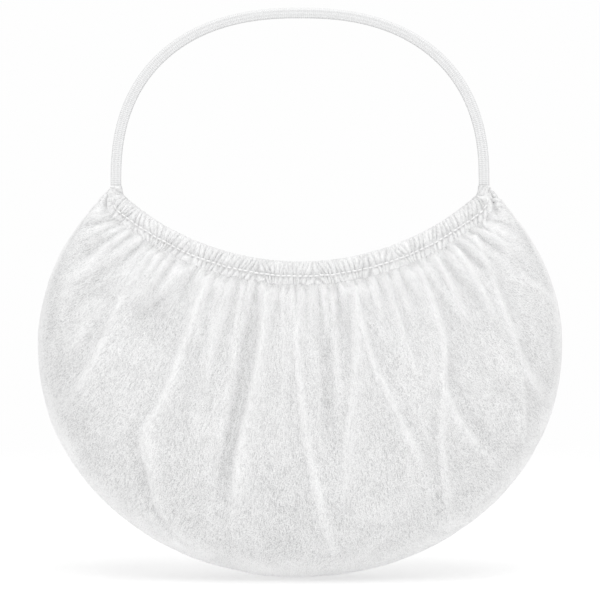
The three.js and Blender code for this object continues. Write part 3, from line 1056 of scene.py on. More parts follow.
@dataclass(frozen=True)
class FibreWeb:
    """The web of fibres in non-woven cloth: thicker and thinner clouds, fibres and grains.

    A fibre is the thin line where stretched noise crosses its middle value. Three layers of
    them lie at different angles, each a little finer or coarser, and a slow noise bends them.
    Scales are in cells a millimetre.
    """

    name: str = "fibre_web"
    layers: Sequence[tuple[float, float]] = ((-10.0, 1.0), (35.0, 0.85), (-55.0, 1.1))
    across_scale: float = 1.25
    along_scale: float = 0.30
    line_reach: float = 0.09
    bend: float = 9.0
    bend_scale: float = 0.05
    cloud_scale: float = 0.10
    cloud_range: tuple[float, float] = (0.30, 0.70)
    grain_scale: float = 1.9
    grain_range: tuple[float, float] = (0.34, 0.66)
    fibre_relief: float = 0.7
    grain_relief: float = 0.8

    def group(self) -> bpy.types.NodeTree:
        """Builds the group once, for every cloth.

        Returns:
            The group, with outputs Cloud, Fibre, Grain and Relief.
        """
        found = bpy.data.node_groups.get(self.name)
        if found:
            return found
        tree = bpy.data.node_groups.new(self.name, "ShaderNodeTree")
        for name in ("Cloud", "Fibre", "Grain", "Relief"):
            tree.interface.new_socket(name, in_out="OUTPUT", socket_type="NodeSocketFloat")
        bench = Bench(tree)
        place = bench.cloth_place()
        cloud = bench.spread(bench.noise(place, self.cloud_scale, detail=3.0), *self.cloud_range)
        grain = bench.spread(bench.noise(place, self.grain_scale, detail=2.0), *self.grain_range)
        fibre = self.fibres(bench, place)
        relief = bench.math("MULTIPLY", grain, self.grain_relief)
        relief = bench.math("MULTIPLY_ADD", fibre, self.fibre_relief, relief)
        outlet = bench.add("NodeGroupOutput")
        for name, value in (("Cloud", cloud), ("Fibre", fibre), ("Grain", grain), ("Relief", relief)):
            bench.feed(outlet.inputs[name], value)
        return tree

    def fibres(self, bench: Bench, place: Socket) -> Socket:
        """Lays the layers of fibres over each other.

        Args:
            bench: the bench of the group.
            place: the place on the cloth.

        Returns:
            How near a fibre's middle the place is, from 0 to 1.
        """
        drift = bench.noise(place, self.bend_scale, detail=1.0, output="Color")
        values = {0: drift, 1: (self.bend, self.bend, 0.0), 2: place}
        bent = bench.add("ShaderNodeVectorMath", values, operation="MULTIPLY_ADD")
        fibre = None
        for angle, fine in self.layers:
            turned = bench.add(
                "ShaderNodeMapping",
                {
                    "Vector": bent.outputs[0],
                    "Location": (angle, 2.0 * angle, angle),
                    "Rotation": (0.0, 0.0, math.radians(angle)),
                    "Scale": (self.across_scale * fine, self.along_scale * fine, 1.0),
                },
            )
            noise = bench.noise(turned.outputs[0], scale=1.0, detail=1.0)
            line = bench.math("ABSOLUTE", bench.math("SUBTRACT", noise, 0.5))
            line = bench.spread(line, 0.0, self.line_reach, 1.0, 0.0)
            fibre = line if fibre is None else bench.math("MAXIMUM", fibre, line)
        return fibre


def new_material(name: str) -> tuple[bpy.types.Material, Bench, bpy.types.Node]:
    """An empty material with its shader.

    Args:
        name: name of the material.

    Returns:
        The material, a bench on its node tree and the Principled BSDF.
    """
    material = bpy.data.materials.new(name)
    material.use_nodes = True
    shader = material.node_tree.nodes["Principled BSDF"]
    shader.inputs["Metallic"].default_value = 0.0
    return material, Bench(material.node_tree), shader


@dataclass(frozen=True)
class NonWovenFinish:
    """Spunbond cloth: matt, white where layers lie double and greyer where the web is thin.

    The piece's mask named tone moves the whole tone; it holds painted light and shade of the
    folds, creases and edges. The web stands out most where the mask is low: in thin cloth and
    in painted shade alike.
    """

    name: str
    thin: Colour = (0.50, 0.502, 0.505, 1.0)
    thick: Colour = grey(0.97)
    base: float = 0.51
    fibre_share: float = 0.38
    grain_share: float = 0.42
    web_level: float = 0.36
    sheer_mask: float = -0.16
    dense_mask: float = 0.32
    sheer_contrast: float = 1.35
    dense_contrast: float = 0.55
    cloud_share: float = 0.05
    relief: float = 0.14 * MM
    relief_strength: float = 0.9
    roughness: float = 0.88
    fibre_gloss: float = 0.12
    specular: float = 0.25
    sheen: float = 0.08

    def build(self) -> bpy.types.Material:
        """Builds the material.

        Returns:
            The material.
        """
        material, bench, shader = new_material(self.name)
        web = bench.add("ShaderNodeGroup", node_tree=FibreWeb().group()).outputs
        mask = bench.mask("tone")
        # The web's contrast grows where the mask is low, in thin cloth and in painted shade alike
        sheer = bench.spread(
            mask, self.sheer_mask, self.dense_mask, self.sheer_contrast, self.dense_contrast
        )
        tone = bench.math("MULTIPLY", web["Fibre"], self.fibre_share)
        tone = bench.math("MULTIPLY_ADD", web["Grain"], self.grain_share, tone)
        tone = bench.math("MULTIPLY", bench.math("SUBTRACT", tone, self.web_level), sheer)
        tone = bench.math("MULTIPLY_ADD", web["Cloud"], self.cloud_share, tone)
        tone = bench.math("ADD", tone, bench.math("ADD", mask, self.base), clamp=True)
        rough = bench.math("MULTIPLY_ADD", web["Fibre"], -self.fibre_gloss, self.roughness)
        bench.feed(shader.inputs["Base Color"], bench.blend(tone, self.thin, self.thick))
        bench.feed(shader.inputs["Roughness"], rough)
        bench.feed(shader.inputs["Sheen Weight"], self.sheen)
        bench.feed(shader.inputs["Specular IOR Level"], self.specular)
        bench.feed(
            shader.inputs["Normal"], bench.bump(web["Relief"], self.relief, self.relief_strength)
        )
        return material


@dataclass(frozen=True)
class KnitFinish:
    """Knitted elastic: rows of small stitches across the band, their pitches in millimetres.

    A row is a sine along the band, set askew by a sine across it.
    """

    name: str
    valley: Colour = (0.70, 0.702, 0.706, 1.0)
    crest: Colour = (0.94, 0.942, 0.944, 1.0)
    row_pitch: float = 0.78
    wale_pitch: float = 0.53
    askew: float = 0.9
    base: float = 0.40
    row_share: float = 0.22
    fuzz_share: float = 0.4
    fuzz_scale: float = 900.0
    relief: float = 0.12 * MM
    roughness: float = 0.75
    sheen: float = 0.1

    def build(self) -> bpy.types.Material:
        """Builds the material; its mask named shade, the painted shade of the band's grooves and
        edges, comes from the piece.

        Returns:
            The material.
        """
        material, bench, shader = new_material(self.name)
        run, across = bench.cloth_run()
        wave = 2 * math.pi
        wale = bench.math("SINE", bench.math("MULTIPLY", across, wave / self.wale_pitch))
        row = bench.math("MULTIPLY", run, wave / self.row_pitch)
        row = bench.math("SINE", bench.math("MULTIPLY_ADD", wale, self.askew, row))
        row = bench.math("MULTIPLY_ADD", row, 0.5, 0.5)
        place = bench.add("ShaderNodeTexCoord").outputs["Object"]
        fuzz = bench.noise(place, self.fuzz_scale, detail=3.0)
        tone = bench.math("MULTIPLY", row, self.row_share)
        tone = bench.math("MULTIPLY_ADD", fuzz, self.fuzz_share, tone)
        tone = bench.math("ADD", tone, self.base)
        # Painted shade in the band's grooves and at its edges
        tone = bench.math("SUBTRACT", tone, bench.mask("shade"), clamp=True)
        bench.feed(shader.inputs["Base Color"], bench.blend(tone, self.valley, self.crest))
        bench.feed(shader.inputs["Roughness"], self.roughness)
        bench.feed(shader.inputs["Sheen Weight"], self.sheen)
        bench.feed(shader.inputs["Normal"], bench.bump(row, self.relief))
        return material


@dataclass(frozen=True)
class ThreadFinish:
    """Sewing thread: brighter than the cloth, with a twist along its length.

    The twist is a sine of the two directions on the thread together.
    """

    name: str
    crest: Colour = grey(0.99)
    groove: Colour = grey(0.92)
    twist: float = 0.35
    slope: float = 0.5
    relief: float = 0.03 * MM
    roughness: float = 0.6

    def build(self) -> bpy.types.Material:
        """Builds the material.

        Returns:
            The material.
        """
        material, bench, shader = new_material(self.name)
        run, around = bench.cloth_run()
        turn = bench.math("ADD", run, bench.math("MULTIPLY", around, self.slope))
        strand = bench.math("SINE", bench.math("MULTIPLY", turn, 2 * math.pi / self.twist))
        strand = bench.math("MULTIPLY_ADD", strand, 0.5, 0.5)
        bench.feed(shader.inputs["Base Color"], bench.blend(strand, self.groove, self.crest))
        bench.feed(shader.inputs["Roughness"], self.roughness)
        bench.feed(shader.inputs["Normal"], bench.bump(strand, self.relief))
        return material


# Sub-assemblies


@dataclass
class HemCloth:
    """The folded edge of the cloth over the elastic: its outer and its turned-in layer.

    The section runs from the outer raw edge up over the band's fold to the inner raw edge, and
    is pinched at the stitch line. Ruffles puff it out between their creases.
    """

    rim: Rim
    side: Side
    ruffles: Ruffles
    tip_length: float
    material: bpy.types.Material
    columns: int = 960
    band_clearance: float = 0.22 * MM
    tip_fade: float = 6.0 * MM
    tip_above: float = 0.35 * MM
    tip_below: float = 0.10 * MM
    tip_calm: float = 0.55
    edge_wave: float = 0.25 * MM
    edge_cells: float = 40.0
    puff: float = 1.6 * MM
    puff_power: float = 0.62
    least_crest: float = 0.62
    most_floor: float = 0.4
    slant: float = 0.9
    slant_cells: float = 31.0
    scallop: float = 0.30 * MM
    scallop_level: float = 0.4
    base_tone: float = 0.04
    # Painted shade in the ruffles' creases and along the top fold, and a painted highlight along the
    # raw edge
    crease_shade: float = 0.50
    raw_edge_highlight: float = 0.20
    raw_reach: float = 0.10
    top_shade: float = 0.30
    top_reach: float = 0.24
    uv_stretch: float = 2.0
    uv_row: float = 8.0

    # Half of the section, from the outer raw edge to the fold: how far down the hem, as a share
    # of the way from the fold to the raw edge, its half thickness as a share of the band's
    # clearance half, and the share of a ruffle's height.
    SECTION = (
        (1.000, 0.92, 0.70),
        (0.930, 0.91, 0.78),
        (0.850, 0.90, 0.80),
        (0.770, 0.88, 0.74),
        (0.700, 0.84, 0.62),
        (0.640, 0.85, 0.55),
        (0.605, 0.85, 0.55),
        (0.565, 0.88, 0.66),
        (0.510, 0.95, 0.86),
        (0.440, 1.00, 1.00),
        (0.350, 1.00, 1.00),
        (0.260, 1.00, 0.90),
        (0.170, 0.96, 0.70),
        (0.090, 0.84, 0.46),
        (0.030, 0.55, 0.26),
        (0.000, 0.00, 0.14),
    )

    def raw_edge(self, share: Array) -> Array:
        """Distance from the band's centre-line down to the raw edge, short at the hem's tips.

        Args:
            share: places along the rim.

        Returns:
            The distances in metres.
        """
        sizes = self.rim.sizes
        tip = self.tip(share)
        under = sizes.hem_below * (1 - tip) + (sizes.band_width / 2 + self.tip_below) * tip
        noise = ValueNoise(seed=self.ruffles.seed + 9)
        wave = noise.along(share, cells=self.edge_cells, start=8.0, row=1.1)
        return under + self.edge_wave * wave * (1 - tip)

    def tip(self, share: Array) -> Array:
        """How near a place is to the hem's end, from 1 at the end of the tip to 0 past the bend."""
        end_run = self.rim.length * np.minimum(share, 1.0 - share)
        return 1.0 - smooth_step((end_run + self.tip_length) / (self.tip_length + self.tip_fade))

    def puffs(self, share: Array, below: Array) -> tuple[Array, Array]:
        """How far the ruffles stand out, from 0 in a crease to 1 on a crest.

        A ruffle is the half sine wave between its creases, raised to a power under 1, on a floor
        that differs from crease to crease. Each leans a little, so its place shifts down the hem.

        Args:
            share: places along the rim.
            below: distance down from the band's centre-line.

        Returns:
            The puff, and how deep in a crease the place is.
        """
        noise = ValueNoise(seed=self.ruffles.seed + 5)
        lean = noise.along(share, cells=self.slant_cells, start=4.0, row=3.3)
        shifted = share + self.slant * lean * below / self.rim.length
        tip = self.tip_length / self.rim.length
        number, across = self.ruffles.locate((shifted + tip) / (1.0 + 2.0 * tip))
        floor = self.ruffles.draws(0.0, self.most_floor, salt=11)
        floor_here = floor[number] * (1 - smooth_step(across))
        floor_here = floor_here + floor[(number + 1) % self.ruffles.count] * smooth_step(across)
        crest = self.ruffles.draws(self.least_crest, 1.0, salt=12)[number]
        wave = np.sin(np.pi * np.clip(across, 0.0, 1.0)) ** self.puff_power
        puff = floor_here + (crest - floor_here) * wave
        return puff, (1.0 - wave) * (1.0 - floor_here)

    def surface(self, share: Array, rows: Array, taut: Optional[float] = None) -> tuple[Array, Array]:
        """Points of the hem.

        Args:
            share: places along the rim, any shape.
            rows: for each place, the section's parameter from 0 at the outer raw edge, through
                1 at the fold, to 2 at the inner raw edge.
            taut: one height for every ruffle, from 0 to 1, for what is stretched over them.

        Returns:
            The points, and the mask of creases.
        """
        sizes = self.rim.sizes
        table = np.array(self.SECTION)
        knots = np.linspace(0.0, 1.0, len(table))
        half_way = np.where(rows > 1.0, 2.0 - rows, rows)
        drop = np.interp(half_way, knots, table[:, 0])
        half = np.interp(half_way, knots, table[:, 1])
        ruffle = np.interp(half_way, knots, table[:, 2])
        outward = np.where(rows > 1.0, -1.0, 1.0)

        tip = self.tip(share)
        above = sizes.hem_above * (1 - tip) + (sizes.band_width / 2 + self.tip_above) * tip
        under = self.raw_edge(share)
        puff, crease = self.puffs(share, drop * sizes.hem_depth - above)
        if taut is not None:
            puff = np.full(share.shape, taut)
        below = -above + (above + under) * drop
        below = below - self.scallop * (puff - self.scallop_level) * (1.0 - drop) ** 3
        thick = sizes.band_thickness / 2 + self.band_clearance
        lift = self.puff * ruffle * puff * (1.0 - self.tip_calm * tip)
        out = outward * (thick * half + lift)
        point, _, down, forward = self.rim.frame(share, self.side)
        points = point + down * below[..., None] + forward * out[..., None]
        return points, crease * ruffle

    def build(self) -> bpy.types.Object:
        """Builds and dresses the hem.

        Returns:
            The piece.
        """
        reach = self.tip_length / self.rim.length
        share = np.linspace(-reach, 1.0 + reach, self.columns)
        rows = np.linspace(0.0, 2.0, 2 * len(self.SECTION) - 1)
        grid_share, grid_rows = np.meshgrid(share, rows, indexing="ij")
        points, crease = self.surface(grid_share, grid_rows)
        faces = grid_faces(self.columns, len(rows), ring=False, tube=False)
        if self.side is Side.FRONT:
            faces = faces[:, ::-1]
        run = grid_share * self.uv_stretch * self.rim.length / MM
        uv = np.stack([run, grid_rows * self.uv_row], axis=-1)
        # Painted light and shade: the creases and the top fold are darkened, the raw edge is lightened
        # as a highlight
        raw = np.exp(-((((grid_rows - 1.0) ** 2 - 1.0) / self.raw_reach) ** 2))
        top = np.exp(-(((grid_rows - 1.0) / self.top_reach) ** 2))
        tone = self.base_tone - self.crease_shade * crease
        tone = tone + self.raw_edge_highlight * raw - self.top_shade * top
        name = "front_hem_cloth" if self.side is Side.FRONT else "back_hem_cloth"
        obj = mesh_object(name, points, faces, uv, {"tone": tone})
        install(obj, self.material, Slot.CLOTH, "front_hem" if self.side is Side.FRONT else "back_hem")
        return obj


@dataclass(frozen=True)
class PanelPlan:
    """A panel before its folds: where its points are, seen from the front and on the cloth.

    The rim and the fold are x and z for each column. The rest are grids: x, z, the share along
    the panel, the way down it from 0 at the rim to 1 at the fold, the distance below the hem's
    raw edge, and the distance from the fold, which is positive on the back.
    """

    side: Side
    columns: Array
    rim: tuple[Array, Array]
    fold: tuple[Array, Array]
    x: Array
    z: Array
    share: Array
    reach: Array
    below: Array
    away: Array


@dataclass
class PouchCloth:
    """The body of the net: one sheet from the front rim round the bottom to the back rim."""

    rim: Rim
    fold: FoldLine
    folds: dict[Side, PanelFolds]
    hems: dict[Side, HemCloth]
    material: bpy.types.Material
    end_columns: int = 16
    mid_columns: int = 488
    front_rows: int = 122
    back_rows: int = 66
    row_power: float = 1.25
    weld_distance: float = 0.002 * MM
    tuck: float = 1.3 * MM
    least_length: float = 0.4 * MM
    pinch_share: float = 0.014
    under_hem: float = 0.38 * MM
    hem_fade: float = 10.0 * MM
    crumple_fade: float = 20.0 * MM
    pleat_start: float = 0.15
    pleat_fade: float = 7.0 * MM
    fold_start: float = 0.12
    fold_fade: float = 0.16
    gather_fade: float = 0.40
    corner_gain: float = 4.0
    # Painted light and shade of the folds: crests lightened, hollows darkened, pleat edges given a
    # painted highlight
    fine_shading: float = 0.105
    fine_height: float = 0.22 * MM
    fine_blur: tuple[float, float] = (3.0, 2.0)
    broad_shading: float = 0.05
    broad_height: float = 1.3 * MM
    broad_blur: tuple[float, float] = (11.0, 8.0)
    shade_share: float = 0.75
    edge_highlight: float = 0.17
    hollow_shade: float = 0.12
    # Painted shade in the hem's creases where they run onto the pouch, and a painted shadow just under
    # the hem's raw edge; hem_tone makes the cloth a little lighter just below the hem
    crease_shade: float = 0.06
    hem_tone: float = 0.05
    edge_shade: float = 0.16
    edge_reach: float = 0.7 * MM
    # Painted light along the bottom fold, which faces down towards the floor
    fold_painted_light: float = 0.36
    fold_painted_light_from: float = 0.90
    fold_painted_light_reach: float = 0.09
    # Painted shade from top to bottom: lighter towards the rim and darker towards the fold, as under
    # light from above
    painted_rise_shade: float = 0.06
    rise_level: float = 0.45
    wear_seed: int = 71
    wear_parts: Sequence[float] = (1.0, 0.55, 0.30)
    wear_growth: float = 1.8
    wear_start: tuple[float, float] = (9.2, 60.4)
    wear_cells: tuple[float, float] = (12.0 * MM, 5.5 * MM)
    wear_reach: float = 46.0 * MM
    # Painted light and shade on the fold's dents: lighter where they bulge out, darker where they sink
    dent_shading: float = 0.11
    wear_height: float = 0.22 * MM
    flat_size: tuple[float, float] = (0.457, 0.320)
    gather_ratio: float = 2.0
    area_columns: int = 400
    area_rows: int = 200

    def columns(self) -> Array:
        """Places of the columns: even ones, with closer ones where the corners round off.

        Returns:
            The places as shares, from 0 to 1.
        """
        turn = np.linspace(0.0, math.pi / 2, self.end_columns, endpoint=False)
        left = self.pinch_share * (1.0 - np.cos(turn))
        middle = np.linspace(self.pinch_share, 1.0 - self.pinch_share, self.mid_columns)
        return np.concatenate([left, middle, 1.0 - left[::-1]])

    def half_depth(self, share: Array, reach: Array) -> Array:
        """Half of the pouch's depth without its folds.

        Above the fullest level it is the full depth less a power of the way up; below it, the
        full depth times the root of 1 less a power of the way down.

        Args:
            share: place along the panel.
            reach: way down from the rim to the fold.

        Returns:
            Half depths in metres.
        """
        sizes = self.rim.sizes
        top = self.rim.mouth_half(share) + sizes.hem_wall / 2
        spread = sizes.pouch_depth / 2 - sizes.corner_half
        full = sizes.corner_half + spread * openness(share) ** sizes.pouch_fullness
        up = np.clip((sizes.fullest - reach) / sizes.fullest, 0.0, 1.0)
        low = np.clip((reach - sizes.fullest) / (1.0 - sizes.fullest), 0.0, 1.0)
        upper = full - (full - top) * up**sizes.upper_swell
        lower = full * np.sqrt(1.0 - low**sizes.lower_swell)
        return np.where(reach < sizes.fullest, upper, lower)

    def plan(self, share: Array, rows: Array, side: Side) -> PanelPlan:
        """Lays a panel out on straight lines from its tucked upper edge to the fold.

        Args:
            share: shares of the columns.
            rows: way down from the upper edge to the fold, from 0 to 1.
            side: the front or the back panel.

        Returns:
            The plan.
        """
        point, _, down, _ = self.rim.frame(share, side)
        top = point + down * self.hems[side].raw_edge(share)[:, None]
        fold_x, fold_z = self.fold.point(share)
        length = np.hypot(fold_x - top[:, 0], fold_z - top[:, 2])
        length = np.maximum(length, self.least_length)[:, None]
        start = -self.tuck / length
        reach = start + (1.0 - start) * rows[None, :]
        return PanelPlan(
            side=side,
            columns=share,
            rim=(top[:, 0], top[:, 2]),
            fold=(fold_x, fold_z),
            x=top[:, None, 0] + (fold_x - top[:, 0])[:, None] * reach,
            z=top[:, None, 2] + (fold_z - top[:, 2])[:, None] * reach,
            share=np.broadcast_to(share[:, None], reach.shape),
            reach=reach,
            below=reach * length,
            away=(1.0 - reach) * length * side.value,
        )

    def folded(self, plan: PanelPlan) -> tuple[Array, Array]:
        """Heights of a panel's folds and the tone that goes with them, mostly painted light and shade.

        Pleats and crumple are calm beside the hem, at the fold and in the corners. The hem's
        own ruffles run on a little way below it.

        Args:
            plan: the panel.

        Returns:
            Heights in metres, and the mask of the cloth's tone, painted light and shade included.
        """
        sizes, hem, folds = self.rim.sizes, self.hems[plan.side], self.folds[plan.side]
        pleats, bright, hollow = folds.pleats(plan.x, plan.z, plan.rim, plan.fold, plan.columns)
        crumple = folds.crumpling(plan.x, plan.z) * smooth_step(plan.below / self.crumple_fade)
        mouth = np.clip(openness(plan.share), 0.0, 1.0)
        corner = np.clip(openness(plan.share) * self.corner_gain, 0.0, 1.0)
        calm = mouth**0.5 * smooth_step((1.0 - plan.reach) / self.fold_fade + self.fold_start)
        calm = calm * smooth_step(plan.below / self.pleat_fade + self.pleat_start)
        gathers = folds.gathers(plan.share, plan.below) * corner
        relief = (pleats + crumple) * calm
        relief = relief + gathers * smooth_step((1.0 - plan.reach) / self.gather_fade)

        puff, crease = hem.puffs(plan.share, plan.below + sizes.hem_below)
        _, edge_half, edge_ruffle = hem.SECTION[0]
        lift = (sizes.band_thickness / 2 + hem.band_clearance) * edge_half - sizes.hem_wall / 2
        lift = lift - self.under_hem + hem.puff * edge_ruffle * puff
        fade = 1.0 - smooth_step(plan.below / self.hem_fade)
        dent_heights, close = self.fold_dents(plan)
        dent_heights = dent_heights * corner

        # Painted light and shade of the folds, painted shade in the hem's creases, a lighter strip
        # below the hem and a painted shadow under its raw edge
        tone = self.tone_from(relief, bright, hollow) - self.crease_shade * crease * fade**2
        tone = tone + self.hem_tone * fade
        tone = tone - self.edge_shade * np.exp(-((plan.below / self.edge_reach) ** 2))
        # Painted light along the bottom fold
        near_fold = smooth_step((plan.reach - self.fold_painted_light_from) / self.fold_painted_light_reach)
        tone = tone + self.fold_painted_light * near_fold
        # Painted shade: lighter towards the rim, darker towards the fold
        tone = tone + self.painted_rise_shade * (self.rise_level - np.clip(plan.reach, 0.0, 1.0))
        # Painted light and shade on the fold's dents
        tone = tone + self.dent_shading * dent_heights * close
        return relief + lift * fade + self.wear_height * dent_heights * close, tone

    def fold_dents(self, plan: PanelPlan) -> tuple[Array, Array]:
        """Soft dents along the fold, the same on both panels and drawn out along it.

        Args:
            plan: the panel.

        Returns:
            Heights around 0, and how close to the fold the place is, from 0 to 1.
        """
        run = plan.share * self.fold.length
        total = np.zeros(run.shape)
        for order, part in enumerate(self.wear_parts):
            fine = self.wear_growth**order
            along = fine * run / self.wear_cells[0] + self.wear_start[0]
            away = fine * plan.away / self.wear_cells[1] + self.wear_start[1]
            total += part * ValueNoise(self.wear_seed + order).at(along, away)
        return total, 1.0 - smooth_step(np.abs(plan.away) / self.wear_reach)

    def tone_from(self, relief: Array, bright: Array, hollow: Array) -> Array:
        """Painted light and shade of the folds: lighter on crests, darker in hollows.

        A crest or hollow is a height less its blurred neighbourhood, fine or broad, held
        within bounds by a hyperbolic tangent.

        Args:
            relief: heights of the folds in metres.
            bright: mask of the pleats' edges, which get a painted highlight.
            hollow: mask of the hollows between them, which get painted shade.

        Returns:
            The change of tone, all of it painted light and shade.
        """
        fine = relief - blurred(relief, *self.fine_blur)
        broad = relief - blurred(relief, *self.broad_blur)
        tone = self.fine_shading * np.tanh(fine / self.fine_height)
        tone = tone + self.broad_shading * np.tanh(broad / self.broad_height)
        tone = np.where(tone > 0.0, tone, self.shade_share * tone)
        return tone + self.edge_highlight * bright - self.hollow_shade * hollow

    def panel(self, share: Array, rows: Array, side: Side) -> tuple[Array, Array]:
        """One panel, from its tucked upper edge to the fold.

        The folds stand on the plain surface along its normals. Near a corner the depth follows
        a quarter circle down to 0, so that the two panels meet.

        Args:
            share: shares of the columns.
            rows: way down from the upper edge to the fold, from 0 to 1.
            side: the front or the back panel.

        Returns:
            Points, and the mask of the cloth's tone, painted light and shade included.
        """
        plan = self.plan(share, rows, side)
        relief, tone = self.folded(plan)
        half = self.half_depth(plan.share, plan.reach)
        grid = np.stack([plan.x, side.value * half, plan.z], axis=-1)
        normal = surface_normals(grid)
        normal = normal * np.where(normal[..., 1:2] * side.value < 0, -1.0, 1.0)
        grid = grid + normal * relief[..., None]
        to_end = np.minimum(plan.share, 1.0 - plan.share)
        round_off = 1.0 - np.clip(to_end / self.pinch_share, 0.0, 1.0)
        grid[..., 1] *= np.sqrt(np.clip(1.0 - round_off**2, 0.0, 1.0))
        return grid, tone

    def build(self) -> bpy.types.Object:
        """Builds and dresses the sheet. Its rows lie closer near the fold.

        Returns:
            The piece.
        """
        share = self.columns()
        front_rows = np.linspace(0.0, 1.0, self.front_rows)
        back_rows = np.linspace(1.0, 0.0, self.back_rows)
        front = self.panel(share, 1.0 - (1.0 - front_rows) ** self.row_power, Side.FRONT)
        back = self.panel(share, 1.0 - (1.0 - back_rows) ** self.row_power, Side.BACK)
        points, tone = (np.concatenate([a, b[:, 1:]], axis=1) for a, b in zip(front, back))
        columns, rows = points.shape[:2]
        faces = grid_faces(columns, rows, ring=False, tube=False)
        down = np.linalg.norm(np.diff(points, axis=1), axis=-1)
        run = np.concatenate([np.zeros((columns, 1)), np.cumsum(down, axis=1)], axis=1)
        wide = np.broadcast_to(share[:, None] * self.fold.length, run.shape)
        uv = np.stack([wide, run], axis=-1) / MM
        obj = mesh_object("pouch_cloth", points, faces, uv, {"tone": tone})
        weld(obj, self.weld_distance)
        install(obj, self.material, Slot.CLOTH, "pouch")
        return obj

    def flat_area(self) -> float:
        """Flat area of the cut: the hems' four layers and the panels, each row laid out flat.

        The cloth is as wide as the gathers take up at the rim, and as long as the fold there.

        Returns:
            The area in square metres.
        """
        share = np.linspace(0.0, 1.0, self.area_columns)
        rows = np.linspace(0.0, 1.0, self.area_rows)
        gathered = self.gather_ratio * self.rim.length
        width = gathered + (self.fold.length - gathered) * smooth_step(rows[:-1] + 0.5 * rows[1])
        total = 4 * self.rim.sizes.hem_depth * gathered
        for side in Side:
            point, _, _, _ = self.rim.frame(share, side)
            fold_x, fold_z = self.fold.point(share)
            x = point[:, None, 0] + (fold_x - point[:, 0])[:, None] * rows
            z = point[:, None, 2] + (fold_z - point[:, 2])[:, None] * rows
            wide = np.broadcast_to(share[:, None], x.shape)
            grid = np.stack([x, self.half_depth(wide, np.broadcast_to(rows, x.shape)), z], axis=-1)
            lengths = np.linalg.norm(np.diff(grid, axis=1), axis=-1)
            total += float(np.sum(np.mean(lengths, axis=0) * width))
        return total


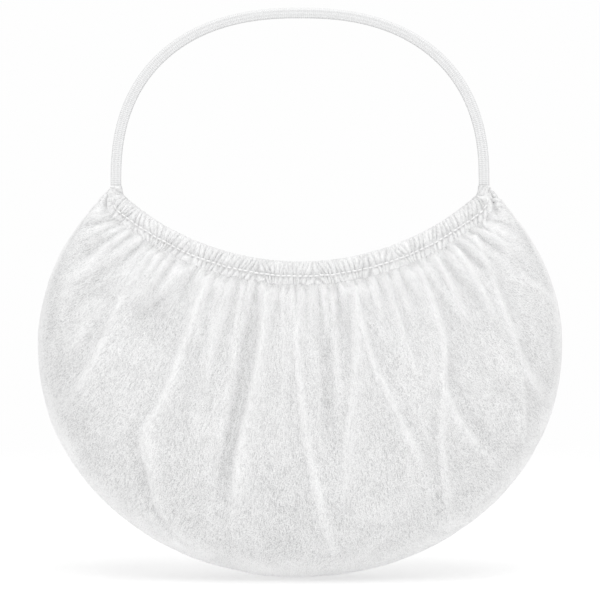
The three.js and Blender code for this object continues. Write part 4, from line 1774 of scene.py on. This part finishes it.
@dataclass
class KnittedBand:
    """The flat knitted elastic: a ribbed section carried along a path."""

    rim: Rim
    material: bpy.types.Material
    stations: int = 640
    face_points: int = 15
    ribs: float = 3.0
    rib_power: float = 0.8
    rib_depth: float = 0.26
    groove_shade: float = 0.75
    edge_power: int = 8
    loop_steps: int = 3001
    rim_steps: int = 600
    back_end: float = 0.012
    back_inset: float = 0.03 * MM

    def face(self) -> tuple[Array, Array]:
        """The points of one face of the section.

        Returns:
            Their places across it from -1 to 1, and how deep in a groove each is: 1 less a
            power of the size of a cosine.
        """
        across = -np.cos(np.linspace(0.0, math.pi, self.face_points))
        rib = np.abs(np.cos(math.pi * self.ribs * across / 2)) ** self.rib_power
        return across, 1.0 - rib

    def section(self, inset: float = 0.0) -> tuple[Array, Array]:
        """The band's outline as steps down its face and out of it.

        The half thickness is the root of 1 less the fourth power of the way across, and the
        grooves between the ribs take a share off it.

        Args:
            inset: how much narrower and thinner the section is all round.

        Returns:
            Steps across the face and steps out of it, once round.
        """
        sizes = self.rim.sizes
        across, groove = self.face()
        edge = np.sqrt(np.clip(1.0 - across**4, 0.0, 1.0))
        out = edge * (1.0 - self.rib_depth * groove)
        down = np.concatenate([across, across[-2:0:-1]]) * (sizes.band_width / 2 - inset)
        thick = np.concatenate([out, -out[-2:0:-1]]) * (sizes.band_thickness / 2 - inset)
        return down, thick

    def groove_mask(self) -> Array:
        """Painted shade of the section: darkest deep in a groove and at the band's edge.

        Returns:
            The shade of each point.
        """
        across, groove = self.face()
        deep = np.maximum(groove, np.abs(across) ** self.edge_power)
        return self.groove_shade * np.concatenate([deep, deep[-2:0:-1]])

    def loop_path(self) -> Array:
        """The head loop's centre-line from the left leg over the crown to the right leg.

        From the front it is half of a squarish ellipse: x and z follow the cosine and the sine
        of a turn, each to the power of 2 over the squareness.

        Returns:
            Points of the line.
        """
        sizes = self.rim.sizes
        start = sizes.bend_height + sizes.leg_straight
        rise = sizes.loop_rise - sizes.leg_straight
        turn = np.linspace(0.0, math.pi, self.loop_steps)
        power = 2.0 / sizes.loop_squareness
        x = -np.sign(np.cos(turn)) * sizes.loop_half_span * np.abs(np.cos(turn)) ** power
        z = start + rise * np.sin(turn).clip(0.0) ** power
        return np.stack([x, -self.rim.leg_lean(z), z], axis=-1)

    def sweep(
        self, name: str, path: Array, down: Array, out: Array, ring: bool, inset: float = 0.0
    ) -> bpy.types.Object:
        """Carries the section along a path.

        Args:
            name: name of the piece.
            path: points of the path.
            down: directions across the band's face.
            out: directions out of its face.
            ring: the path closes on itself.
            inset: how much narrower the section is all round.

        Returns:
            The piece.
        """
        across, thick = self.section(inset)
        points = path[:, None] + down[:, None] * across[None, :, None]
        points = points + out[:, None] * thick[None, :, None]
        steps = np.linalg.norm(np.diff(path, axis=0), axis=-1)
        run = np.concatenate([[0.0], np.cumsum(steps)]) / MM
        wide = np.broadcast_to(across / MM, points.shape[:2])
        uv = np.stack([np.broadcast_to(run[:, None], wide.shape), wide], axis=-1)
        shade = np.broadcast_to(self.groove_mask(), points.shape[:2])
        faces = grid_faces(len(path), points.shape[1], ring=ring, tube=True)
        return mesh_object(name, points, faces, uv, {"shade": shade})

    def build_loop(self) -> bpy.types.Object:
        """Builds the closed ring that runs through the front hem and over the crown.

        Returns:
            The piece.
        """
        left = self.rim.point(np.linspace(0.5, 0.0, self.rim_steps)[1:], Side.FRONT)
        right = self.rim.point(np.linspace(1.0, 0.5, self.rim_steps), Side.FRONT)
        path = np.concatenate([left, self.loop_path(), right])
        steps = np.linalg.norm(np.diff(path, axis=0, append=path[:1]), axis=-1)
        run = np.concatenate([[0.0], np.cumsum(steps)])
        closed = np.concatenate([path, path[:1]])
        even = np.linspace(0.0, run[-1], self.stations, endpoint=False)
        path = np.stack([np.interp(even, run, closed[:, k]) for k in range(3)], axis=-1)
        along = unit(np.roll(path, -1, axis=0) - np.roll(path, 1, axis=0))
        forward = np.broadcast_to(np.array([0.0, -1.0, 0.0]), along.shape)
        out = unit(forward - along * np.sum(forward * along, axis=-1, keepdims=True))
        down = np.cross(out, along)
        obj = self.sweep("head_loop_elastic", path, down, out, ring=True)
        install(obj, self.material, Slot.ELASTIC, "elastic_band")
        return obj

    def build_back(self) -> bpy.types.Object:
        """Builds the strip of the same elastic that gathers the back hem.

        Returns:
            The piece.
        """
        share = np.linspace(self.back_end, 1.0 - self.back_end, self.stations // 2)
        point, _, down, out = self.rim.frame(share, Side.BACK)
        obj = self.sweep("back_hem_elastic", point, down, out, ring=False, inset=self.back_inset)
        install(obj, self.material, Slot.ELASTIC, "back_elastic")
        return obj


@dataclass
class StitchRow:
    """A row of sewing stitches along a hem: short rounded threads laid end to end."""

    hem: HemCloth
    name: str
    material: bpy.types.Material
    inside: bool = False
    seam_row: float = 5.5
    taut: float = 0.92
    pitch: float = 2.1 * MM
    radius: float = 0.36 * MM
    first_gap: float = 0.04
    length_share: float = 0.92
    sink: float = 0.3
    rise: float = 1.6
    end_size: float = 0.25
    rings: int = 7
    sides: int = 6

    def build(self) -> bpy.types.Object:
        """Builds the row as one mesh.

        Each stitch is a tube whose radius and height follow the root of 1 less the fourth power
        of the way along it, so that both ends dive into the cloth.

        Returns:
            The piece.
        """
        rim = self.hem.rim
        count = int(rim.length / self.pitch)
        begin = (np.arange(1, count - 1) + self.first_gap) / count
        local = np.linspace(-1.0, 1.0, self.rings)
        share = begin[:, None] + (local[None, :] * 0.5 + 0.5) * self.length_share / count
        row = self.seam_row / (len(self.hem.SECTION) - 1)
        row = 2.0 - row if self.inside else row
        base = self.hem.surface(share, np.full(share.shape, row), taut=self.taut)[0]
        _, _, down, out = rim.frame(share, self.hem.side)
        out = -out if self.inside else out
        bulge = np.sqrt(np.clip(1.0 - local**4, 0.0, 1.0))
        lift = (bulge - self.sink) * self.radius * self.rise
        centre = base + out * lift[None, :, None]
        turn = np.linspace(0.0, 2 * math.pi, self.sides, endpoint=False)
        size = self.radius * (self.end_size + (1.0 - self.end_size) * bulge)
        ring = (
            down[:, :, None] * np.cos(turn)[None, None, :, None]
            + out[:, :, None] * np.sin(turn)[None, None, :, None]
        )
        points = centre[:, :, None] + ring * size[None, :, None, None]
        faces = grid_faces(self.rings, self.sides, ring=False, tube=True)
        step = self.rings * self.sides
        faces = (faces[None] + (np.arange(len(begin)) * step)[:, None, None]).reshape(-1, 4)
        if self.hem.side is Side.FRONT and not self.inside:
            faces = faces[:, ::-1]
        run = np.broadcast_to((share * rim.length / MM)[:, :, None], points.shape[:3])
        around = np.broadcast_to(turn, points.shape[:3])
        obj = mesh_object(self.name, points, faces, np.stack([run, around], axis=-1))
        install(obj, self.material, Slot.CLOTH)
        return obj


@dataclass(frozen=True)
class Softbox:
    """A square lamp: where it stands, the length of its side and its power in watts."""

    name: str
    place: tuple[float, float, float]
    size: float
    power: float


SOFTBOXES = (
    Softbox("key_softbox", (0.16, -1.10, 1.50), size=1.8, power=20.5),
    Softbox("back_softbox", (0.0, 0.60, 1.60), size=2.0, power=6.5),
    Softbox("fill_softbox", (-1.6, -1.0, 0.25), size=0.8, power=1.5),
)


@dataclass
class Studio:
    """A pale floor, a white surround, soft lamps and the camera in front of the net."""

    sizes: NetSizes
    softboxes: Sequence[Softbox] = SOFTBOXES
    distance: float = 2.5
    frame_width: float = 0.2424
    aim_height: float = -0.1137
    lamp_drop: float = 0.02
    elevation: float = math.radians(3.0)
    sight: float = 50.0
    surround_white: float = 0.991
    surround_light: float = 0.74
    floor_gap: float = 0.4 * MM
    floor_half: float = 3.0
    floor_white: float = 0.56
    floor_glow: float = 0.44
    floor_roughness: float = 0.9
    fade_from: float = 0.30
    fade_to: float = 0.75

    def camera(self) -> None:
        """Makes the camera: the frame's width at the net gives the length of its lens."""
        data = bpy.data.cameras.new("portrait_camera")
        data.lens = data.sensor_width * self.distance / self.frame_width
        data.clip_end = self.sight
        camera = bpy.data.objects.new("portrait_camera", data)
        bpy.context.scene.collection.objects.link(camera)
        back = Vector((0.0, -math.cos(self.elevation), math.sin(self.elevation)))
        camera.location = Vector((0.0, 0.0, self.aim_height)) + back * self.distance
        camera.rotation_euler = (-back).to_track_quat("-Z", "Y").to_euler()
        bpy.context.scene.camera = camera

    def lamp(self, softbox: Softbox) -> None:
        """Makes one lamp that faces the net.

        Args:
            softbox: the lamp's name, place, size and power.
        """
        data = bpy.data.lights.new(softbox.name, "AREA")
        data.shape = "SQUARE"
        data.size = softbox.size
        data.energy = softbox.power
        lamp = bpy.data.objects.new(softbox.name, data)
        bpy.context.scene.collection.objects.link(lamp)
        lamp.location = softbox.place
        aim = Vector((0.0, 0.0, self.aim_height - self.lamp_drop))
        lamp.rotation_euler = (aim - lamp.location).to_track_quat("-Z", "Y").to_euler()

    def surround(self) -> None:
        """Makes the white surround, brighter to the camera than as a light."""
        world = bpy.data.worlds.new("surround")
        world.use_nodes = True
        bench = Bench(world.node_tree)
        background = world.node_tree.nodes["Background"]
        seen = bench.add("ShaderNodeLightPath").outputs["Is Camera Ray"]
        strength = bench.spread(seen, 0.0, 1.0, self.surround_light, 1.0)
        bench.feed(background.inputs["Strength"], strength)
        bench.feed(background.inputs["Color"], grey(self.surround_white))
        bpy.context.scene.world = world

    def floor(self) -> None:
        """Makes the pale floor: a wide plane that fades into the surround far from the net.

        It gives off a little light of its own, so that the shadow on it stays faint, and it
        doesn't show from below.
        """
        half = self.floor_half
        level = self.sizes.pouch_bottom - self.floor_gap
        corners = np.array([[-half, -half], [half, -half], [half, half], [-half, half]])
        points = np.concatenate([corners, np.full((4, 1), level)], axis=1)
        obj = mesh_object("pale_floor", points, np.array([[0, 1, 2, 3]]))
        material, bench, shader = new_material("pale_floor")
        bench.feed(shader.inputs["Base Color"], grey(self.floor_white))
        bench.feed(shader.inputs["Roughness"], self.floor_roughness)
        bench.feed(shader.inputs["Specular IOR Level"], 0.0)
        bench.feed(shader.inputs["Emission Color"], grey(1.0))
        bench.feed(shader.inputs["Emission Strength"], self.floor_glow)
        place = bench.add("ShaderNodeTexCoord").outputs["Object"]
        away = bench.add("ShaderNodeVectorMath", {0: place}, operation="LENGTH").outputs["Value"]
        fade = bench.spread(away, self.fade_from, self.fade_to, 1.0, 0.0)
        under = bench.add("ShaderNodeNewGeometry").outputs["Backfacing"]
        seen = bench.add("ShaderNodeLightPath").outputs["Is Camera Ray"]
        below = bench.math("MULTIPLY", under, seen)
        cover = bench.math("MULTIPLY", fade, bench.math("SUBTRACT", 1.0, below))
        bench.feed(shader.inputs["Alpha"], cover)
        obj.data.materials.append(material)

    def build(self) -> None:
        """Sets up the whole stage but the camera."""
        self.surround()
        self.floor()
        for softbox in self.softboxes:
            self.lamp(softbox)
        view = bpy.context.scene.view_settings
        view.view_transform = "Standard"
        view.look = "None"
        log.info("studio: frame %.1f mm wide", self.frame_width / MM)


def main() -> None:
    """Builds the net piece by piece."""
    logging.basicConfig(level=logging.INFO, format="%(name)s: %(message)s")
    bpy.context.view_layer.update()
    sizes = NetSizes.from_frame()
    studio = Studio(sizes)
    studio.camera()
    rim = Rim(sizes)
    fold = FoldLine(rim)
    log.info("rim %.1f mm, fold %.1f mm", rim.length / MM, fold.length / MM)

    pouch_web = NonWovenFinish("nonwoven_pouch").build()
    hem_web = NonWovenFinish("nonwoven_hem", base=0.80, sheer_contrast=0.95).build()
    knit = KnitFinish("knitted_elastic").build()
    thread = ThreadFinish("sewing_thread").build()

    ruffles = {
        Side.FRONT: Ruffles(count=88, unevenness=0.38, seed=31),
        Side.BACK: Ruffles(count=84, unevenness=0.38, seed=52),
    }
    tips = {Side.FRONT: sizes.tip_rise, Side.BACK: 0.0}
    hems = {side: HemCloth(rim, side, ruffles[side], tips[side], hem_web) for side in Side}
    folds = {
        Side.FRONT: PanelFolds(FRONT_CREASES, FRONT_DENTS, ruffles[Side.FRONT], seed=70),
        Side.BACK: PanelFolds(BACK_CREASES, BACK_DENTS, ruffles[Side.BACK], seed=90),
    }
    hem_pieces = [hem.build() for hem in hems.values()]
    pouch = PouchCloth(rim, fold, folds, hems, pouch_web)
    sheet = pouch.build()
    band = KnittedBand(rim, knit)
    band.build_loop()
    band.build_back()
    StitchRow(hems[Side.FRONT], "front_stitches", thread).build()
    StitchRow(hems[Side.FRONT], "front_inner_stitches", thread, inside=True).build()
    StitchRow(hems[Side.BACK], "back_stitches", thread).build()
    StitchRow(hems[Side.BACK], "back_inner_stitches", thread, inside=True).build()

    area = pouch.flat_area()
    log.info("cloth: flat area %.4f m2", area)
    studio.build()


if __name__ == "__main__":
    main()
